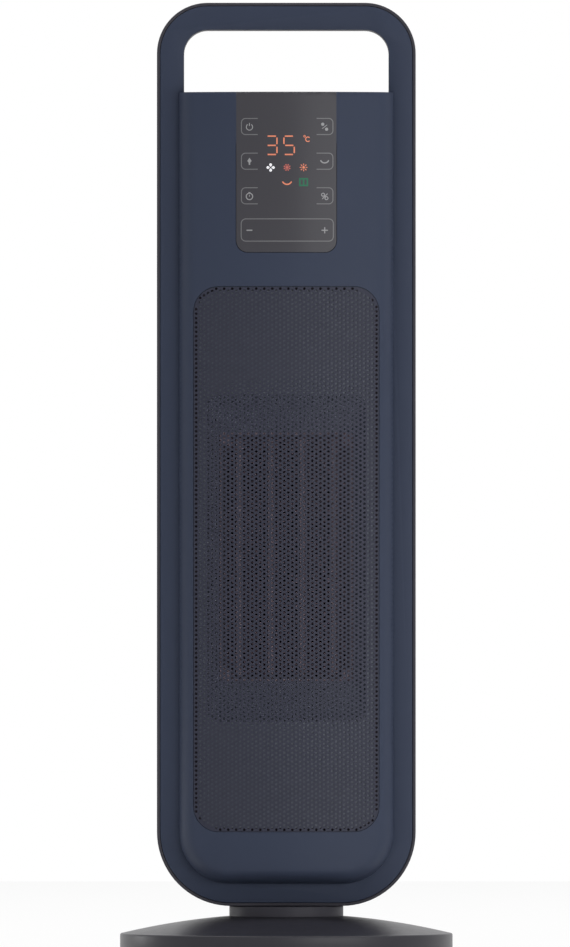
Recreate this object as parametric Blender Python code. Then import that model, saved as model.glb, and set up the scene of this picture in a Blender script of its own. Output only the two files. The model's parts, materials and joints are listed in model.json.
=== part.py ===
"""Tower fan heater with a loop handle, a perforated grille and a touch panel, on a round oscillating base.

Metres, +Z up. The origin is the middle of the ground under the feet, and the grille faces -Y.
"""

import math

import bmesh
import bpy

for old_object in list(bpy.data.objects):
    bpy.data.objects.remove(old_object, do_unlink=True)

# Fits that the whole heater shares.
GAP = 0.0003  # between pieces that rest on or fit in each other
OVERRUN = 0.005  # how far a cutter runs past what it cuts
MERGE = 0.000001
SINK = 0.001  # how deep two shapes reach into each other where they become one piece

# Loop frame: the flat band that is the tower's edge and, above the body, its handle.
TOTAL_HEIGHT = 0.650
LOOP_HALF_WIDTH = 0.088
LOOP_DEPTH = 0.052
LOOP_TOP_RADIUS = 0.0345
LOOP_FOOT_RADIUS = 0.0503
LOOP_FOOT = 0.0358
BAND_WIDTH = 0.0183
EDGE_STRIP = 0.002  # the rear frame's lip that shows round the front frame
FACE_DEPTH = 0.009
HANDLE_HEIGHT = 0.0427
HANDLE_TOP_RADIUS = 0.0163
HANDLE_FOOT_RADIUS = 0.001
CROSSBAR = 0.012
CABLE_HOLE_RADIUS = 0.010

# Front and rear shells, which bulge out of the loop.
SHELL_LAP = 0.0031  # how far a shell hides the handle's opening width
SHELL_FOOT = 0.051
SHELL_CORNER_RADIUS = 0.0347
SHELL_WALL = 0.0028
SHELL_SKIRT = 0.002
SHELL_SIDE = 0.013
SHELL_CROWN = 0.019
SHELL_ROLL = 0.0098
SHELL_SEAT = 0.0068  # how far a shell laps over the loop's face

# Control panel and the board behind it.
PANEL_HALF_WIDTH = 0.034
PANEL_HEIGHT = 0.1089
PANEL_RADIUS = 0.008
PANEL_THICKNESS = 0.0016
PANEL_LEDGE = 0.006
DISPLAY_MARGIN = 0.004
BOARD_THICKNESS = 0.0016

# Front grille.
GRILLE_MARGIN = 0.0099
GRILLE_FOOT = 0.0868
GRILLE_TO_PANEL = 0.0234
GRILLE_RADIUS = 0.017
GRILLE_THICKNESS = 0.0014
GRILLE_LEDGE = 0.004
HOLE_RADIUS = 0.0060
HOLE_PITCH_Z = 0.0230
HOLE_MARGIN = 0.003
GRILLE_HOLE_SIDES = 4

# Heating element and the funnel that leads its air to the grille.
FUNNEL_SIDE_SLOPE = 0.00865
ELEMENT_DEPTH = 0.024
ELEMENT_FRONT = -0.033
ELEMENT_WALL = 0.0035
ELEMENT_RADIUS = 0.002
MOUTH_MARGIN = 0.0089
MOUTH_ABOVE_GRILLE_FOOT = 0.0745
MOUTH_BELOW_GRILLE_TOP = 0.0730
FUNNEL_FOOT_SLOPE = 0.0275
FUNNEL_TOP_SLOPE = 0.0258
MOUTH_RADIUS = 0.008
DUCT_WALL = 0.0016
DUCT_LAP = 0.0026
BACKING_CLEARANCE = 0.0006
BAR_COUNT = 4
BAR_EDGE = 0.01295
BAR_WIDTH = 0.0034
FIN_WIDTH = 0.0014
FIN_PITCH = 0.0105
FIN_INSET = 0.003
CUTOUT_LENGTH = 0.016
CUTOUT_WIDTH = 0.007
CUTOUT_HEIGHT = 0.009

# Cross-flow fan, its scroll housing and its motor.
FAN_Y = 0.020
WHEEL_RADIUS = 0.025
WHEEL_BORE = 0.0190
WHEEL_FOOT_INSET = 0.0042
WHEEL_TOP_INSET = 0.0049
DISC_THICKNESS = 0.002
BLADE_COUNT = 20
BLADE_THICKNESS = 0.001
BLADE_SWEEP = math.radians(24)
SHAFT_RADIUS = 0.003
SCROLL_WALL = 0.002
SCROLL_GAP = 0.002  # the narrowest space between wheel and scroll
SCROLL_GROWTH = 0.0105
SCROLL_SPAN = math.radians(120)
SCROLL_START = math.radians(70)
TONGUE_GAP = 0.0035
TONGUE_SPAN = math.radians(38)
TONGUE_START = math.radians(-36)
TONGUE_BACK_SPAN = math.radians(22)
SCROLL_SHOULDER = 0.028
SCROLL_BACK = 0.030
SCROLL_BACK_HALF_WIDTH = 0.038
SHAFT_CLEARANCE = 0.001
END_GAP = 0.002
BEARING_RADIUS = 0.008
BEARING_HEIGHT = 0.009
MOTOR_RADIUS = 0.021
MOTOR_HEIGHT = 0.040
MOTOR_WALL = 0.0015
STATOR_THICKNESS = 0.0055
STATOR_INSET = 0.006
AIR_GAP = 0.0008
CAP_THICKNESS = 0.002

# Electronics carrier.
TRAY_ABOVE_ELEMENT = 0.047
TRAY_HEIGHT = 0.080
TRAY_THICKNESS = 0.002
TRAY_Y = 0.012
TRAY_FLANGE = 0.010
BOARD_MARGIN = 0.008
RELAY_LENGTH = 0.019
RELAY_WIDTH = 0.015
RELAY_HEIGHT = 0.015

# Intake cover with its dust filter, in the rear shell.
INTAKE_MARGIN = 0.0228
INTAKE_BELOW_WHEEL = 0.028
INTAKE_ABOVE_WHEEL = 0.052
INTAKE_RADIUS = 0.010
INTAKE_THICKNESS = 0.0016
INTAKE_LEDGE = 0.004
SLOT_PITCH = 0.0165
SLOT_HEIGHT = 0.008
SLOT_MARGIN = 0.010
FILTER_THICKNESS = 0.0015
FILTER_MARGIN = 0.0065

# Mains switch, low on the rear shell.
SWITCH_Z = 0.115
SWITCH_HALF_WIDTH = 0.0095
SWITCH_HALF_HEIGHT = 0.0130
SWITCH_FLANGE = 0.0025
SWITCH_FLANGE_THICKNESS = 0.002
SWITCH_DEPTH = 0.014
SWITCH_WALL = 0.0015
ROCKER_PIVOT = 0.005  # depth of the rocker's axis under the flange's face
ROCKER_HALF_HEIGHT = 0.0104
ROCKER_OUTLINE_SHARES = ((-0.6, 0.4), (0.7, 1), (1.24, 1), (0.92, 0), (1.24, -1), (0.7, -1), (-0.6, -0.4))
ROCKER_ANGLE = math.radians(8)

# Screws that clamp the two shells together.
SHELL_SCREW_INSET = 0.0208
SHELL_SCREW_FOOT = 0.080
SHELL_SCREW_BELOW_TOP = 0.029
SCREW_RADIUS = 0.0016
SCREW_HEAD_RADIUS = 0.0034
SCREW_HEAD_HEIGHT = 0.0024
HEAD_FLAT_SHARE = 0.7
POST_WALL = 0.0016
SHELL_SCREW_LENGTH = 0.016
POST_FLOOR = 0.002

# Round base.
BASE_RADIUS = 0.11325
BASE_RIM_TOP = 0.0167
BASE_RIM_FOOT = 0.0027
DOME_TOP = 0.0302
BASE_WALL = 0.0025
RIM_FILLET = 0.0012
NECK_RADIUS = 0.0388
NECK_CLEARANCE = 0.0004
NECK_BORE = 0.012
NECK_WALL = 0.004
NECK_HUB_RADIUS = 0.024
PLATE_THICKNESS = 0.0025
PLATE_HUB_RADIUS = 0.034
PLATE_HUB_BORE = 0.024
PLATE_HUB_TOP = 0.0155
WASHER_THICKNESS = 0.0012
BALLAST_INSET = 0.00925
BALLAST_WIDTH = 0.008
BALLAST_HEIGHT = 0.009
FOOT_COUNT = 5
FOOT_RADIUS = 0.008
FOOT_INSET = 0.01625
BASE_SCREW_INSET = 0.016
BASE_SCREW_COUNT = 4
BASE_SCREW_LENGTH = 0.008
BASE_SCREW_HEAD = 0.0018
GLAND_RADIUS = 0.0035
GLAND_LIP = 0.0006
GLAND_FLANGE = 0.0018
GLAND_BORE = 0.0022
GLAND_Z = 0.0099
TILT_LENGTH = 0.016
TILT_WIDTH = 0.010
TILT_HEIGHT = 0.0085
TILT_CIRCLE = 0.066

# Oscillation drive: a sector gear under the neck and a pinion on the drive motor.
GEAR_MODULE = 0.0015
GEAR_TEETH = 60
SECTOR_TEETH = 17
PINION_TEETH = 15
PRESSURE_ANGLE = math.radians(20)
ADDENDUM_SHARE = 0.9
DEDENDUM_SHARE = 1.25
BACKLASH = 0.0002
GEAR_FACE = 0.004
GEAR_BORE = 0.012
DRIVE_MOTOR_RADIUS = 0.020
DRIVE_MOTOR_HEIGHT = 0.0105
DRIVE_SHAFT_RADIUS = 0.002
SWIVEL_SCREW_CIRCLE = 0.018
SWIVEL_SCREW_COUNT = 3
SWIVEL_SCREW_LENGTH = 0.008

# Facets and steps of the curved shapes.
FACET_SHARE = 0.2
FLAT_SHARE = 0.8
COLUMN_SHARES = (0, 0.2, 0.4, 0.6, 0.8, 0.865, 0.93, 0.98, 1)
FINE_STEPS = 40
ROUND_STEPS = 20
SMALL_STEPS = 8
CORNER_STEPS = 4
FOOT_STEPS = 8

# Places that follow from the sizes above.
LOOP_FACE = LOOP_DEPTH / 2
BODY_TOP = TOTAL_HEIGHT - BAND_WIDTH - HANDLE_HEIGHT
HANDLE_HALF_WIDTH = LOOP_HALF_WIDTH - BAND_WIDTH
SHELL_HALF_WIDTH = HANDLE_HALF_WIDTH + SHELL_LAP
GRILLE_HALF_WIDTH = SHELL_HALF_WIDTH - GRILLE_MARGIN
MOUTH_HALF_WIDTH = GRILLE_HALF_WIDTH - MOUTH_MARGIN
ELEMENT_HALF_WIDTH = MOUTH_HALF_WIDTH - FUNNEL_SIDE_SLOPE
BAR_PITCH = 2 * (ELEMENT_HALF_WIDTH - BAR_EDGE) / (BAR_COUNT - 1)
INTAKE_HALF_WIDTH = SHELL_HALF_WIDTH - INTAKE_MARGIN
SLOT_HALF_WIDTH = INTAKE_HALF_WIDTH - SLOT_MARGIN
SHELL_SCREW_X = SHELL_HALF_WIDTH - SHELL_SCREW_INSET
WELL_HALF_WIDTH = SHELL_HALF_WIDTH - SHELL_SEAT
WELL_FOOT = SHELL_FOOT + SHELL_SEAT
WELL_TOP = BODY_TOP - CROSSBAR
WELL_RADIUS = SHELL_CORNER_RADIUS - SHELL_SEAT
SHELL_RIM = LOOP_FACE + GAP
PANEL_FOOT = BODY_TOP - PANEL_HEIGHT
GRILLE_TOP = PANEL_FOOT - GRILLE_TO_PANEL
GRILLE_HEIGHT = GRILLE_TOP - GRILLE_FOOT
MOUTH_FOOT = GRILLE_FOOT + MOUTH_ABOVE_GRILLE_FOOT
MOUTH_TOP = GRILLE_TOP - MOUTH_BELOW_GRILLE_TOP
ELEMENT_FOOT = MOUTH_FOOT + FUNNEL_FOOT_SLOPE
ELEMENT_TOP = MOUTH_TOP - FUNNEL_TOP_SLOPE
ELEMENT_BACK = ELEMENT_FRONT + ELEMENT_DEPTH
WHEEL_FOOT = ELEMENT_FOOT + WHEEL_FOOT_INSET
WHEEL_TOP = ELEMENT_TOP - WHEEL_TOP_INSET
INTAKE_FOOT = WHEEL_FOOT - INTAKE_BELOW_WHEEL
INTAKE_TOP = WHEEL_TOP + INTAKE_ABOVE_WHEEL
INTAKE_HEIGHT = INTAKE_TOP - INTAKE_FOOT
TRAY_FOOT = ELEMENT_TOP + TRAY_ABOVE_ELEMENT
SHELL_SCREW_TOP = BODY_TOP - SHELL_SCREW_BELOW_TOP
BALLAST_OUTER = BASE_RADIUS - BALLAST_INSET
BALLAST_INNER = BALLAST_OUTER - BALLAST_WIDTH
BASE_SCREW_CIRCLE = BALLAST_INNER - BASE_SCREW_INSET
FOOT_CIRCLE = BASE_RADIUS - FOOT_INSET
FOOT_TOP = BASE_RIM_FOOT - GAP
PLATE_TOP = BASE_RIM_FOOT + PLATE_THICKNESS
WASHER_FOOT = PLATE_HUB_TOP + GAP
GEAR_FOOT = WASHER_FOOT + WASHER_THICKNESS + GAP
GEAR_TOP = GEAR_FOOT + GEAR_FACE
NECK_FOOT = GEAR_TOP + GAP
NECK_TOP = LOOP_FOOT - GAP
GEAR_PITCH_RADIUS = GEAR_MODULE * GEAR_TEETH / 2
PINION_PITCH_RADIUS = GEAR_MODULE * PINION_TEETH / 2
DRIVE_CENTRE = GEAR_PITCH_RADIUS + PINION_PITCH_RADIUS


def material(name, colour, roughness, metallic=0.0):
    """A plain finish; colour is linear red, green and blue."""
    finish = bpy.data.materials.new(name)
    finish.use_nodes = True
    shader = finish.node_tree.nodes["Principled BSDF"]
    shader.inputs["Base Color"].default_value = (*colour, 1)
    shader.inputs["Roughness"].default_value = roughness
    shader.inputs["Metallic"].default_value = metallic
    return finish


NAVY = material("navy_satin", (0.045, 0.050, 0.075), 0.45)
CHARCOAL = material("charcoal_satin", (0.030, 0.032, 0.036), 0.5)
PANEL_GLOSS = material("panel_gloss", (0.060, 0.060, 0.066), 0.15)
GRILLE_GREY = material("grille_grey", (0.055, 0.060, 0.075), 0.45)
BLACK_PLASTIC = material("black_plastic", (0.018, 0.018, 0.020), 0.55)
CERAMIC = material("ceramic", (0.16, 0.12, 0.10), 0.7)
ALUMINIUM = material("aluminium", (0.60, 0.60, 0.60), 0.4, 1.0)
STEEL = material("steel", (0.45, 0.45, 0.46), 0.35, 1.0)
COPPER = material("copper", (0.60, 0.26, 0.12), 0.35, 1.0)
BOARD_GREEN = material("board_green", (0.020, 0.090, 0.040), 0.5)
RUBBER = material("rubber", (0.015, 0.015, 0.015), 0.85)
FILTER_MESH = material("filter_mesh", (0.08, 0.08, 0.085), 0.8)


def place(name, mesh, finish, at=(0, 0, 0), turn=0.0, smooth=True):
    """Put a finished bmesh into the scene as one named piece, turned about Z and moved to its place."""
    bmesh.ops.remove_doubles(mesh, verts=mesh.verts, dist=MERGE)
    bmesh.ops.recalc_face_normals(mesh, faces=mesh.faces)
    data = bpy.data.meshes.new(name)
    mesh.to_mesh(data)
    mesh.free()
    data.materials.append(finish)
    if smooth:
        data.shade_smooth()
        data.set_sharp_from_angle(angle=math.radians(35))
    piece = bpy.data.objects.new(name, data)
    bpy.context.scene.collection.objects.link(piece)
    piece.location = at
    piece.rotation_euler.z = turn
    return piece


def combine(piece, tool, operation="DIFFERENCE"):
    """Cut the tool's shape out of the piece, or join it on, and remove the tool."""
    bpy.context.view_layer.update()
    step = piece.modifiers.new(operation.lower(), "BOOLEAN")
    step.object = tool
    step.operation = operation
    step.solver = "EXACT"
    evaluated = piece.evaluated_get(bpy.context.evaluated_depsgraph_get())
    shaped = bpy.data.meshes.new_from_object(evaluated)
    piece.modifiers.clear()
    while len(shaped.materials) > 1:
        shaped.materials.pop()
    shaped.polygons.foreach_set("material_index", [0] * len(shaped.polygons))
    piece.data = shaped
    bpy.data.objects.remove(tool, do_unlink=True)
    return piece


def rounded(half_width, low, high, low_radius, high_radius, steps=CORNER_STEPS):
    """Outline of an upright plate with round corners, as points (across, up)."""
    points = []
    corners = (
        (1, low + low_radius, low_radius, -90),
        (1, high - high_radius, high_radius, 0),
        (-1, high - high_radius, high_radius, 90),
        (-1, low + low_radius, low_radius, 180),
    )
    for side, middle, radius, start in corners:
        for step in range(steps + 1):
            angle = math.radians(start + 90 * step / steps)
            across = side * (half_width - radius) + radius * math.cos(angle)
            points.append((across, middle + radius * math.sin(angle)))
    return points


def circle(radius, steps, across=0.0, up=0.0):
    """Points of a circle round (across, up)."""
    turns = [math.tau * step / steps for step in range(steps)]
    return [(across + radius * math.cos(a), up + radius * math.sin(a)) for a in turns]


def box(half_width, low, high):
    """Outline of an upright plate with square corners."""
    return [(-half_width, low), (half_width, low), (half_width, high), (-half_width, high)]


def prism(outlines, near, far, axis="Y"):
    """Closed solids between two planes across an axis, one for each outline."""
    mesh = bmesh.new()
    for outline in outlines:
        ends = []
        for level in (near, far):
            if axis == "Y":
                corners = [mesh.verts.new((a, level, b)) for a, b in outline]
            elif axis == "X":
                corners = [mesh.verts.new((level, a, b)) for a, b in outline]
            else:
                corners = [mesh.verts.new((a, b, level)) for a, b in outline]
            mesh.faces.new(corners)
            ends.append(corners)
        count = len(outline)
        for index in range(count):
            following = (index + 1) % count
            mesh.faces.new((ends[0][index], ends[0][following], ends[1][following], ends[1][index]))
    return mesh


def turned(profile, steps, axis="Z"):
    """A solid turned round an axis from a closed profile of (radius, height) points."""
    mesh = bmesh.new()
    rings = []
    for step in range(steps):
        angle = math.tau * step / steps
        ring = []
        for radius, height in profile:
            a, b = radius * math.cos(angle), radius * math.sin(angle)
            ring.append(mesh.verts.new((a, height, b) if axis == "Y" else (a, b, height)))
        rings.append(ring)
    count = len(profile)
    for step in range(steps):
        here, there = rings[step], rings[(step + 1) % steps]
        for index in range(count):
            following = (index + 1) % count
            corners = []
            for corner in (here[index], here[following], there[following], there[index]):
                same = [c for c in corners if (c.co - corner.co).length < MERGE]
                if not same:
                    corners.append(corner)
            if len(corners) > 2:
                mesh.faces.new(corners)
    return mesh


def cutter(mesh):
    """A tool made from a mesh, for combine."""
    return place("cutter", mesh, BLACK_PLASTIC, smooth=False)


def edge_distance(across, up):
    """How far a point of the shells' outline lies in from its sides and foot."""
    beyond = abs(across) - (SHELL_HALF_WIDTH - SHELL_CORNER_RADIUS)
    below = SHELL_FOOT + SHELL_CORNER_RADIUS - up
    if beyond > 0 and below > 0:
        return SHELL_CORNER_RADIUS - math.hypot(beyond, below)
    return min(SHELL_HALF_WIDTH - abs(across), up - SHELL_FOOT)


def crown_share(across):
    """The shells' crown as a share of its full height: flat facets between points of a parabola."""
    place_in_facets = abs(across) / (SHELL_HALF_WIDTH * FACET_SHARE)
    facet = int(place_in_facets)
    here, there = (1 - (edge * FACET_SHARE) ** 2 for edge in (facet, facet + 1))
    return here + (there - here) * (place_in_facets - facet)


def shell_depth(across, up, wall=0.0):
    """How far the shells' surface stands from the loop's centre plane, or the wall's inner side."""
    roll = SHELL_ROLL - wall / 2
    inset = min(max(edge_distance(across, up) - wall, 0), roll)
    roll_share = math.sqrt(1 - (1 - inset / roll) ** 2)
    crown = SHELL_CROWN * crown_share(across)
    return SHELL_RIM + SHELL_SKIRT + roll_share * (SHELL_SIDE + crown - wall)


def plate_columns(half_width):
    """Places across a curved plate where its facets meet, which are the shells' own."""
    facet = SHELL_HALF_WIDTH * FACET_SHARE
    whole = math.ceil(half_width / facet)
    return [max(-half_width, min(half_width, index * facet)) for index in range(-whole, whole + 1)]


def shell_rows(wall):
    """Rows of points over a shell's surface, from its flat top down to the rim under its foot."""
    half_width = SHELL_HALF_WIDTH - wall
    foot = SHELL_FOOT + wall
    radius = SHELL_CORNER_RADIUS - wall
    levels = [(half_width, BODY_TOP - wall)]
    for step in range(FOOT_STEPS + 1):
        angle = math.radians(90 * step / FOOT_STEPS)
        level_half_width = half_width - radius + radius * math.cos(angle)
        levels.append((level_half_width, foot + radius - radius * math.sin(angle)))
    shares = [-share for share in reversed(COLUMN_SHARES[1:])] + list(COLUMN_SHARES)
    rows = []
    for level_half_width, up in levels:
        row = []
        for share in shares:
            past_facets = max(0, abs(share) - FLAT_SHARE) / (1 - FLAT_SHARE)
            across = share * (level_half_width + wall) - math.copysign(wall * past_facets, share)
            row.append((across, shell_depth(across, up, wall), up))
        row.insert(0, (-level_half_width, SHELL_RIM, up))
        row.append((level_half_width, SHELL_RIM, up))
        rows.append(row)
    rows.append([(across, SHELL_RIM, up) for across, depth, up in rows[-1]])
    return rows


def shell(side):
    """A hollow bulged shell, open towards the loop; side is -1 in front and 1 behind."""
    mesh = bmesh.new()
    rims = []
    for wall in (0.0, SHELL_WALL):
        grid = [[mesh.verts.new((x, side * y, z)) for x, y, z in row] for row in shell_rows(wall)]
        for upper, lower in zip(grid, grid[1:]):
            for index in range(len(upper) - 1):
                mesh.faces.new((upper[index], lower[index], lower[index + 1], upper[index + 1]))
        mesh.faces.new(grid[0])
        rims.append([row[0] for row in grid] + grid[-1][1:-1] + [row[-1] for row in reversed(grid)])
    count = len(rims[0])
    for index in range(count):
        following = (index + 1) % count
        mesh.faces.new((rims[0][index], rims[0][following], rims[1][following], rims[1][index]))
    return mesh


def curved_plate(side, outline, outer_drop, inner_drop):
    """A plate that follows a shell's bulge between two depths under its surface.

    outline gives (half width, height) pairs from top to bottom.
    """
    mesh = bmesh.new()
    stations = plate_columns(max(half_width for half_width, up in outline))
    skins = []
    for drop in (outer_drop, inner_drop):
        grid = []
        for half_width, up in outline:
            row = []
            for station in stations:
                across = max(-half_width, min(half_width, station))
                depth = shell_depth(across, SHELL_FOOT + SHELL_CORNER_RADIUS) - drop
                row.append(mesh.verts.new((across, side * depth, up)))
            grid.append(row)
        for upper, lower in zip(grid, grid[1:]):
            for index in range(len(stations) - 1):
                mesh.faces.new((upper[index], lower[index], lower[index + 1], upper[index + 1]))
        skins.append(grid)
    loops = []
    for grid in skins:
        left = [row[0] for row in grid]
        right = [row[-1] for row in reversed(grid)]
        loops.append(left + grid[-1][1:-1] + right + grid[0][-2:0:-1])
    count = len(loops[0])
    for index in range(count):
        following = (index + 1) % count
        mesh.faces.new((loops[0][index], loops[0][following], loops[1][following], loops[1][index]))
    return mesh


def plate_levels(half_width, low, high, low_radius, high_radius, grow=0.0):
    """The (half width, height) pairs of a plate with round corners, from top to bottom."""
    outline = rounded(
        half_width + grow, low - grow, high + grow, max(0, low_radius + grow), max(0, high_radius + grow)
    )
    right = [point for point in outline if point[0] > 0]
    return sorted(right, key=lambda point: -point[1])


def bar_between(name, finish, half_width, near, far, low, high, at=(0, 0, 0)):
    """A plain block, centred across X."""
    return place(name, prism([box(half_width, low, high)], near, far), finish, at, smooth=False)


def loop_cuts(piece):
    """Open the handle and the well for the body in a loop-shaped frame."""
    deep = LOOP_DEPTH + OVERRUN
    handle = rounded(
        HANDLE_HALF_WIDTH, BODY_TOP, BODY_TOP + HANDLE_HEIGHT, HANDLE_FOOT_RADIUS, HANDLE_TOP_RADIUS
    )
    well = rounded(WELL_HALF_WIDTH, WELL_FOOT, WELL_TOP, WELL_RADIUS, HANDLE_FOOT_RADIUS)
    return combine(piece, cutter(prism([handle, well], -deep, deep)))


def loop_outline(inset):
    """Outline of the loop, drawn in by a distance."""
    return rounded(
        LOOP_HALF_WIDTH - inset,
        LOOP_FOOT + inset,
        TOTAL_HEIGHT - inset,
        LOOP_FOOT_RADIUS - inset,
        LOOP_TOP_RADIUS - inset,
        FOOT_STEPS,
    )


def make_frames():
    """The charcoal rear frame, and the navy front frame that lies in its rebate."""
    rear = place("rear_frame", prism([loop_outline(0)], -LOOP_FACE + GAP, LOOP_FACE), CHARCOAL)
    rebate = prism([loop_outline(EDGE_STRIP)], -LOOP_FACE - OVERRUN, -LOOP_FACE + FACE_DEPTH + GAP)
    combine(rear, cutter(rebate))
    loop_cuts(rear)
    cable_hole = prism(
        [circle(CABLE_HOLE_RADIUS, ROUND_STEPS)], LOOP_FOOT - OVERRUN, WELL_FOOT + OVERRUN, "Z"
    )
    combine(rear, cutter(cable_hole))
    front_outline = loop_outline(EDGE_STRIP + GAP)
    front = place("front_frame", prism([front_outline], -LOOP_FACE, -LOOP_FACE + FACE_DEPTH), NAVY)
    loop_cuts(front)


def screw_places():
    """Where the screws that clamp the shells stand, as (across, up)."""
    return [(side * SHELL_SCREW_X, up) for up in (SHELL_SCREW_FOOT, SHELL_SCREW_TOP) for side in (-1, 1)]


def add_post(piece, side, across, up, radius, bore, free_end, bore_end):
    """Grow a hollow post inside a shell, from its wall to free_end, and bore it as far as bore_end."""
    root = side * (shell_depth(across, up, SHELL_WALL) + SINK)
    post = prism([circle(radius, SMALL_STEPS, across, up)], root, free_end)
    combine(piece, cutter(post), "UNION")
    hole = prism([circle(bore, SMALL_STEPS, across, up)], free_end - side * OVERRUN, bore_end)
    combine(piece, cutter(hole))


def make_front_shell():
    """Front shell with its stepped openings for the panel and the grille, and four screw posts."""
    piece = place("front_shell", shell(-1), NAVY)
    ledge = SHELL_WALL + OVERRUN
    panel = plate_levels(PANEL_HALF_WIDTH, PANEL_FOOT, BODY_TOP + OVERRUN, PANEL_RADIUS, 0, GAP)
    combine(piece, cutter(curved_plate(-1, panel, -OVERRUN, PANEL_THICKNESS + GAP)))
    inner_half_width = PANEL_HALF_WIDTH - PANEL_LEDGE
    inner = plate_levels(
        inner_half_width, PANEL_FOOT + PANEL_LEDGE, BODY_TOP - SHELL_WALL - PANEL_LEDGE, 0, 0
    )
    combine(piece, cutter(curved_plate(-1, inner, -OVERRUN, ledge)))
    recess = plate_levels(GRILLE_HALF_WIDTH, GRILLE_FOOT, GRILLE_TOP, GRILLE_RADIUS, GRILLE_RADIUS, GAP)
    combine(piece, cutter(curved_plate(-1, recess, -OVERRUN, GRILLE_THICKNESS + GAP)))
    window = plate_levels(
        GRILLE_HALF_WIDTH, GRILLE_FOOT, GRILLE_TOP, GRILLE_RADIUS, GRILLE_RADIUS, -GRILLE_LEDGE
    )
    combine(piece, cutter(curved_plate(-1, window, -OVERRUN, ledge)))
    for across, up in screw_places():
        bore_end = -SHELL_SCREW_LENGTH - GAP
        add_post(piece, -1, across, up, SCREW_RADIUS + GAP + POST_WALL, SCREW_RADIUS + GAP, -GAP, bore_end)


def make_panel():
    """The glossy touch panel, flush in the shell, and the display board on the ledge behind it."""
    levels = plate_levels(PANEL_HALF_WIDTH, PANEL_FOOT, BODY_TOP, PANEL_RADIUS, 0)
    place("control_panel", curved_plate(-1, levels, 0, PANEL_THICKNESS), PANEL_GLOSS)
    half_width = PANEL_HALF_WIDTH - DISPLAY_MARGIN
    low, high = PANEL_FOOT + DISPLAY_MARGIN, BODY_TOP - SHELL_WALL - DISPLAY_MARGIN
    near = -shell_depth(half_width, low) + SHELL_WALL + GAP
    bar_between("display_board", BOARD_GREEN, half_width, near, near + BOARD_THICKNESS, low, high)


def grille_holes():
    """Outlines of the grille's holes, in staggered columns."""
    pitch = SHELL_HALF_WIDTH * FACET_SHARE
    columns = 2 * int(GRILLE_HALF_WIDTH / pitch)
    span = GRILLE_HEIGHT - 2 * (HOLE_MARGIN + HOLE_RADIUS)
    holes = []
    for column in range(columns):
        staggered = column % 2
        rows = int(span / HOLE_PITCH_Z) - staggered
        for row in range(rows + 1):
            up = GRILLE_FOOT + GRILLE_HEIGHT / 2 + (row - rows / 2) * HOLE_PITCH_Z
            across = (column - (columns - 1) / 2) * pitch
            beyond = abs(across) + HOLE_RADIUS + HOLE_MARGIN - (GRILLE_HALF_WIDTH - GRILLE_RADIUS)
            above = abs(up - GRILLE_FOOT - GRILLE_HEIGHT / 2) + HOLE_RADIUS + HOLE_MARGIN
            above -= GRILLE_HEIGHT / 2 - GRILLE_RADIUS
            if beyond < 0 or above < 0 or math.hypot(beyond, above) < GRILLE_RADIUS:
                holes.append(circle(HOLE_RADIUS, GRILLE_HOLE_SIDES, across, up))
    return holes


def make_grille():
    """The perforated front grille, bent to the shell's bulge."""
    levels = plate_levels(GRILLE_HALF_WIDTH, GRILLE_FOOT, GRILLE_TOP, GRILLE_RADIUS, GRILLE_RADIUS)
    piece = place("front_grille", curved_plate(-1, levels, 0, GRILLE_THICKNESS), GRILLE_GREY)
    nearest = shell_depth(GRILLE_HALF_WIDTH, GRILLE_TOP) - GRILLE_THICKNESS - OVERRUN
    farthest = shell_depth(0, GRILLE_TOP) + OVERRUN
    combine(piece, cutter(prism(grille_holes(), -farthest, -nearest)))


def loft(rings):
    """A solid between closed rings of points, joined one after another and back to the first."""
    mesh = bmesh.new()
    loops = [[mesh.verts.new(point) for point in ring] for ring in rings]
    count = len(loops[0])
    for here, there in zip(loops, loops[1:] + loops[:1]):
        for index in range(count):
            following = (index + 1) % count
            mesh.faces.new((here[index], here[following], there[following], there[index]))
    return mesh


def make_duct():
    """Backing plate close behind the grille, with the funnel that narrows to the heating element."""
    drop = SHELL_WALL + BACKING_CLEARANCE
    lap = DUCT_LAP - GRILLE_LEDGE
    levels = plate_levels(GRILLE_HALF_WIDTH, GRILLE_FOOT, GRILLE_TOP, GRILLE_RADIUS, GRILLE_RADIUS, lap)
    piece = place("outlet_duct", curved_plate(-1, levels, drop, drop + DUCT_WALL), BLACK_PLASTIC)
    mouth = rounded(MOUTH_HALF_WIDTH, MOUTH_FOOT, MOUTH_TOP, MOUTH_RADIUS, MOUTH_RADIUS)
    throat = rounded(ELEMENT_HALF_WIDTH, ELEMENT_FOOT, ELEMENT_TOP, ELEMENT_RADIUS, ELEMENT_RADIUS)
    wide_mouth = rounded(
        MOUTH_HALF_WIDTH + DUCT_WALL,
        MOUTH_FOOT - DUCT_WALL,
        MOUTH_TOP + DUCT_WALL,
        MOUTH_RADIUS,
        MOUTH_RADIUS,
    )
    wide_throat = rounded(
        ELEMENT_HALF_WIDTH + DUCT_WALL,
        ELEMENT_FOOT - DUCT_WALL,
        ELEMENT_TOP + DUCT_WALL,
        ELEMENT_RADIUS,
        ELEMENT_RADIUS,
    )
    combine(piece, cutter(prism([mouth], -shell_depth(0, MOUTH_TOP), ELEMENT_FRONT)))
    back = ELEMENT_FRONT - GAP
    front_drop = drop + DUCT_WALL - SINK / 2
    rings = (
        [(x, -shell_depth(x, SHELL_FOOT + SHELL_CORNER_RADIUS) + front_drop, z) for x, z in mouth],
        [(x, back, z) for x, z in throat],
        [(x, back, z) for x, z in wide_throat],
        [(x, -shell_depth(x, SHELL_FOOT + SHELL_CORNER_RADIUS) + front_drop, z) for x, z in wide_mouth],
    )
    combine(piece, cutter(loft(rings)), "UNION")


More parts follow.
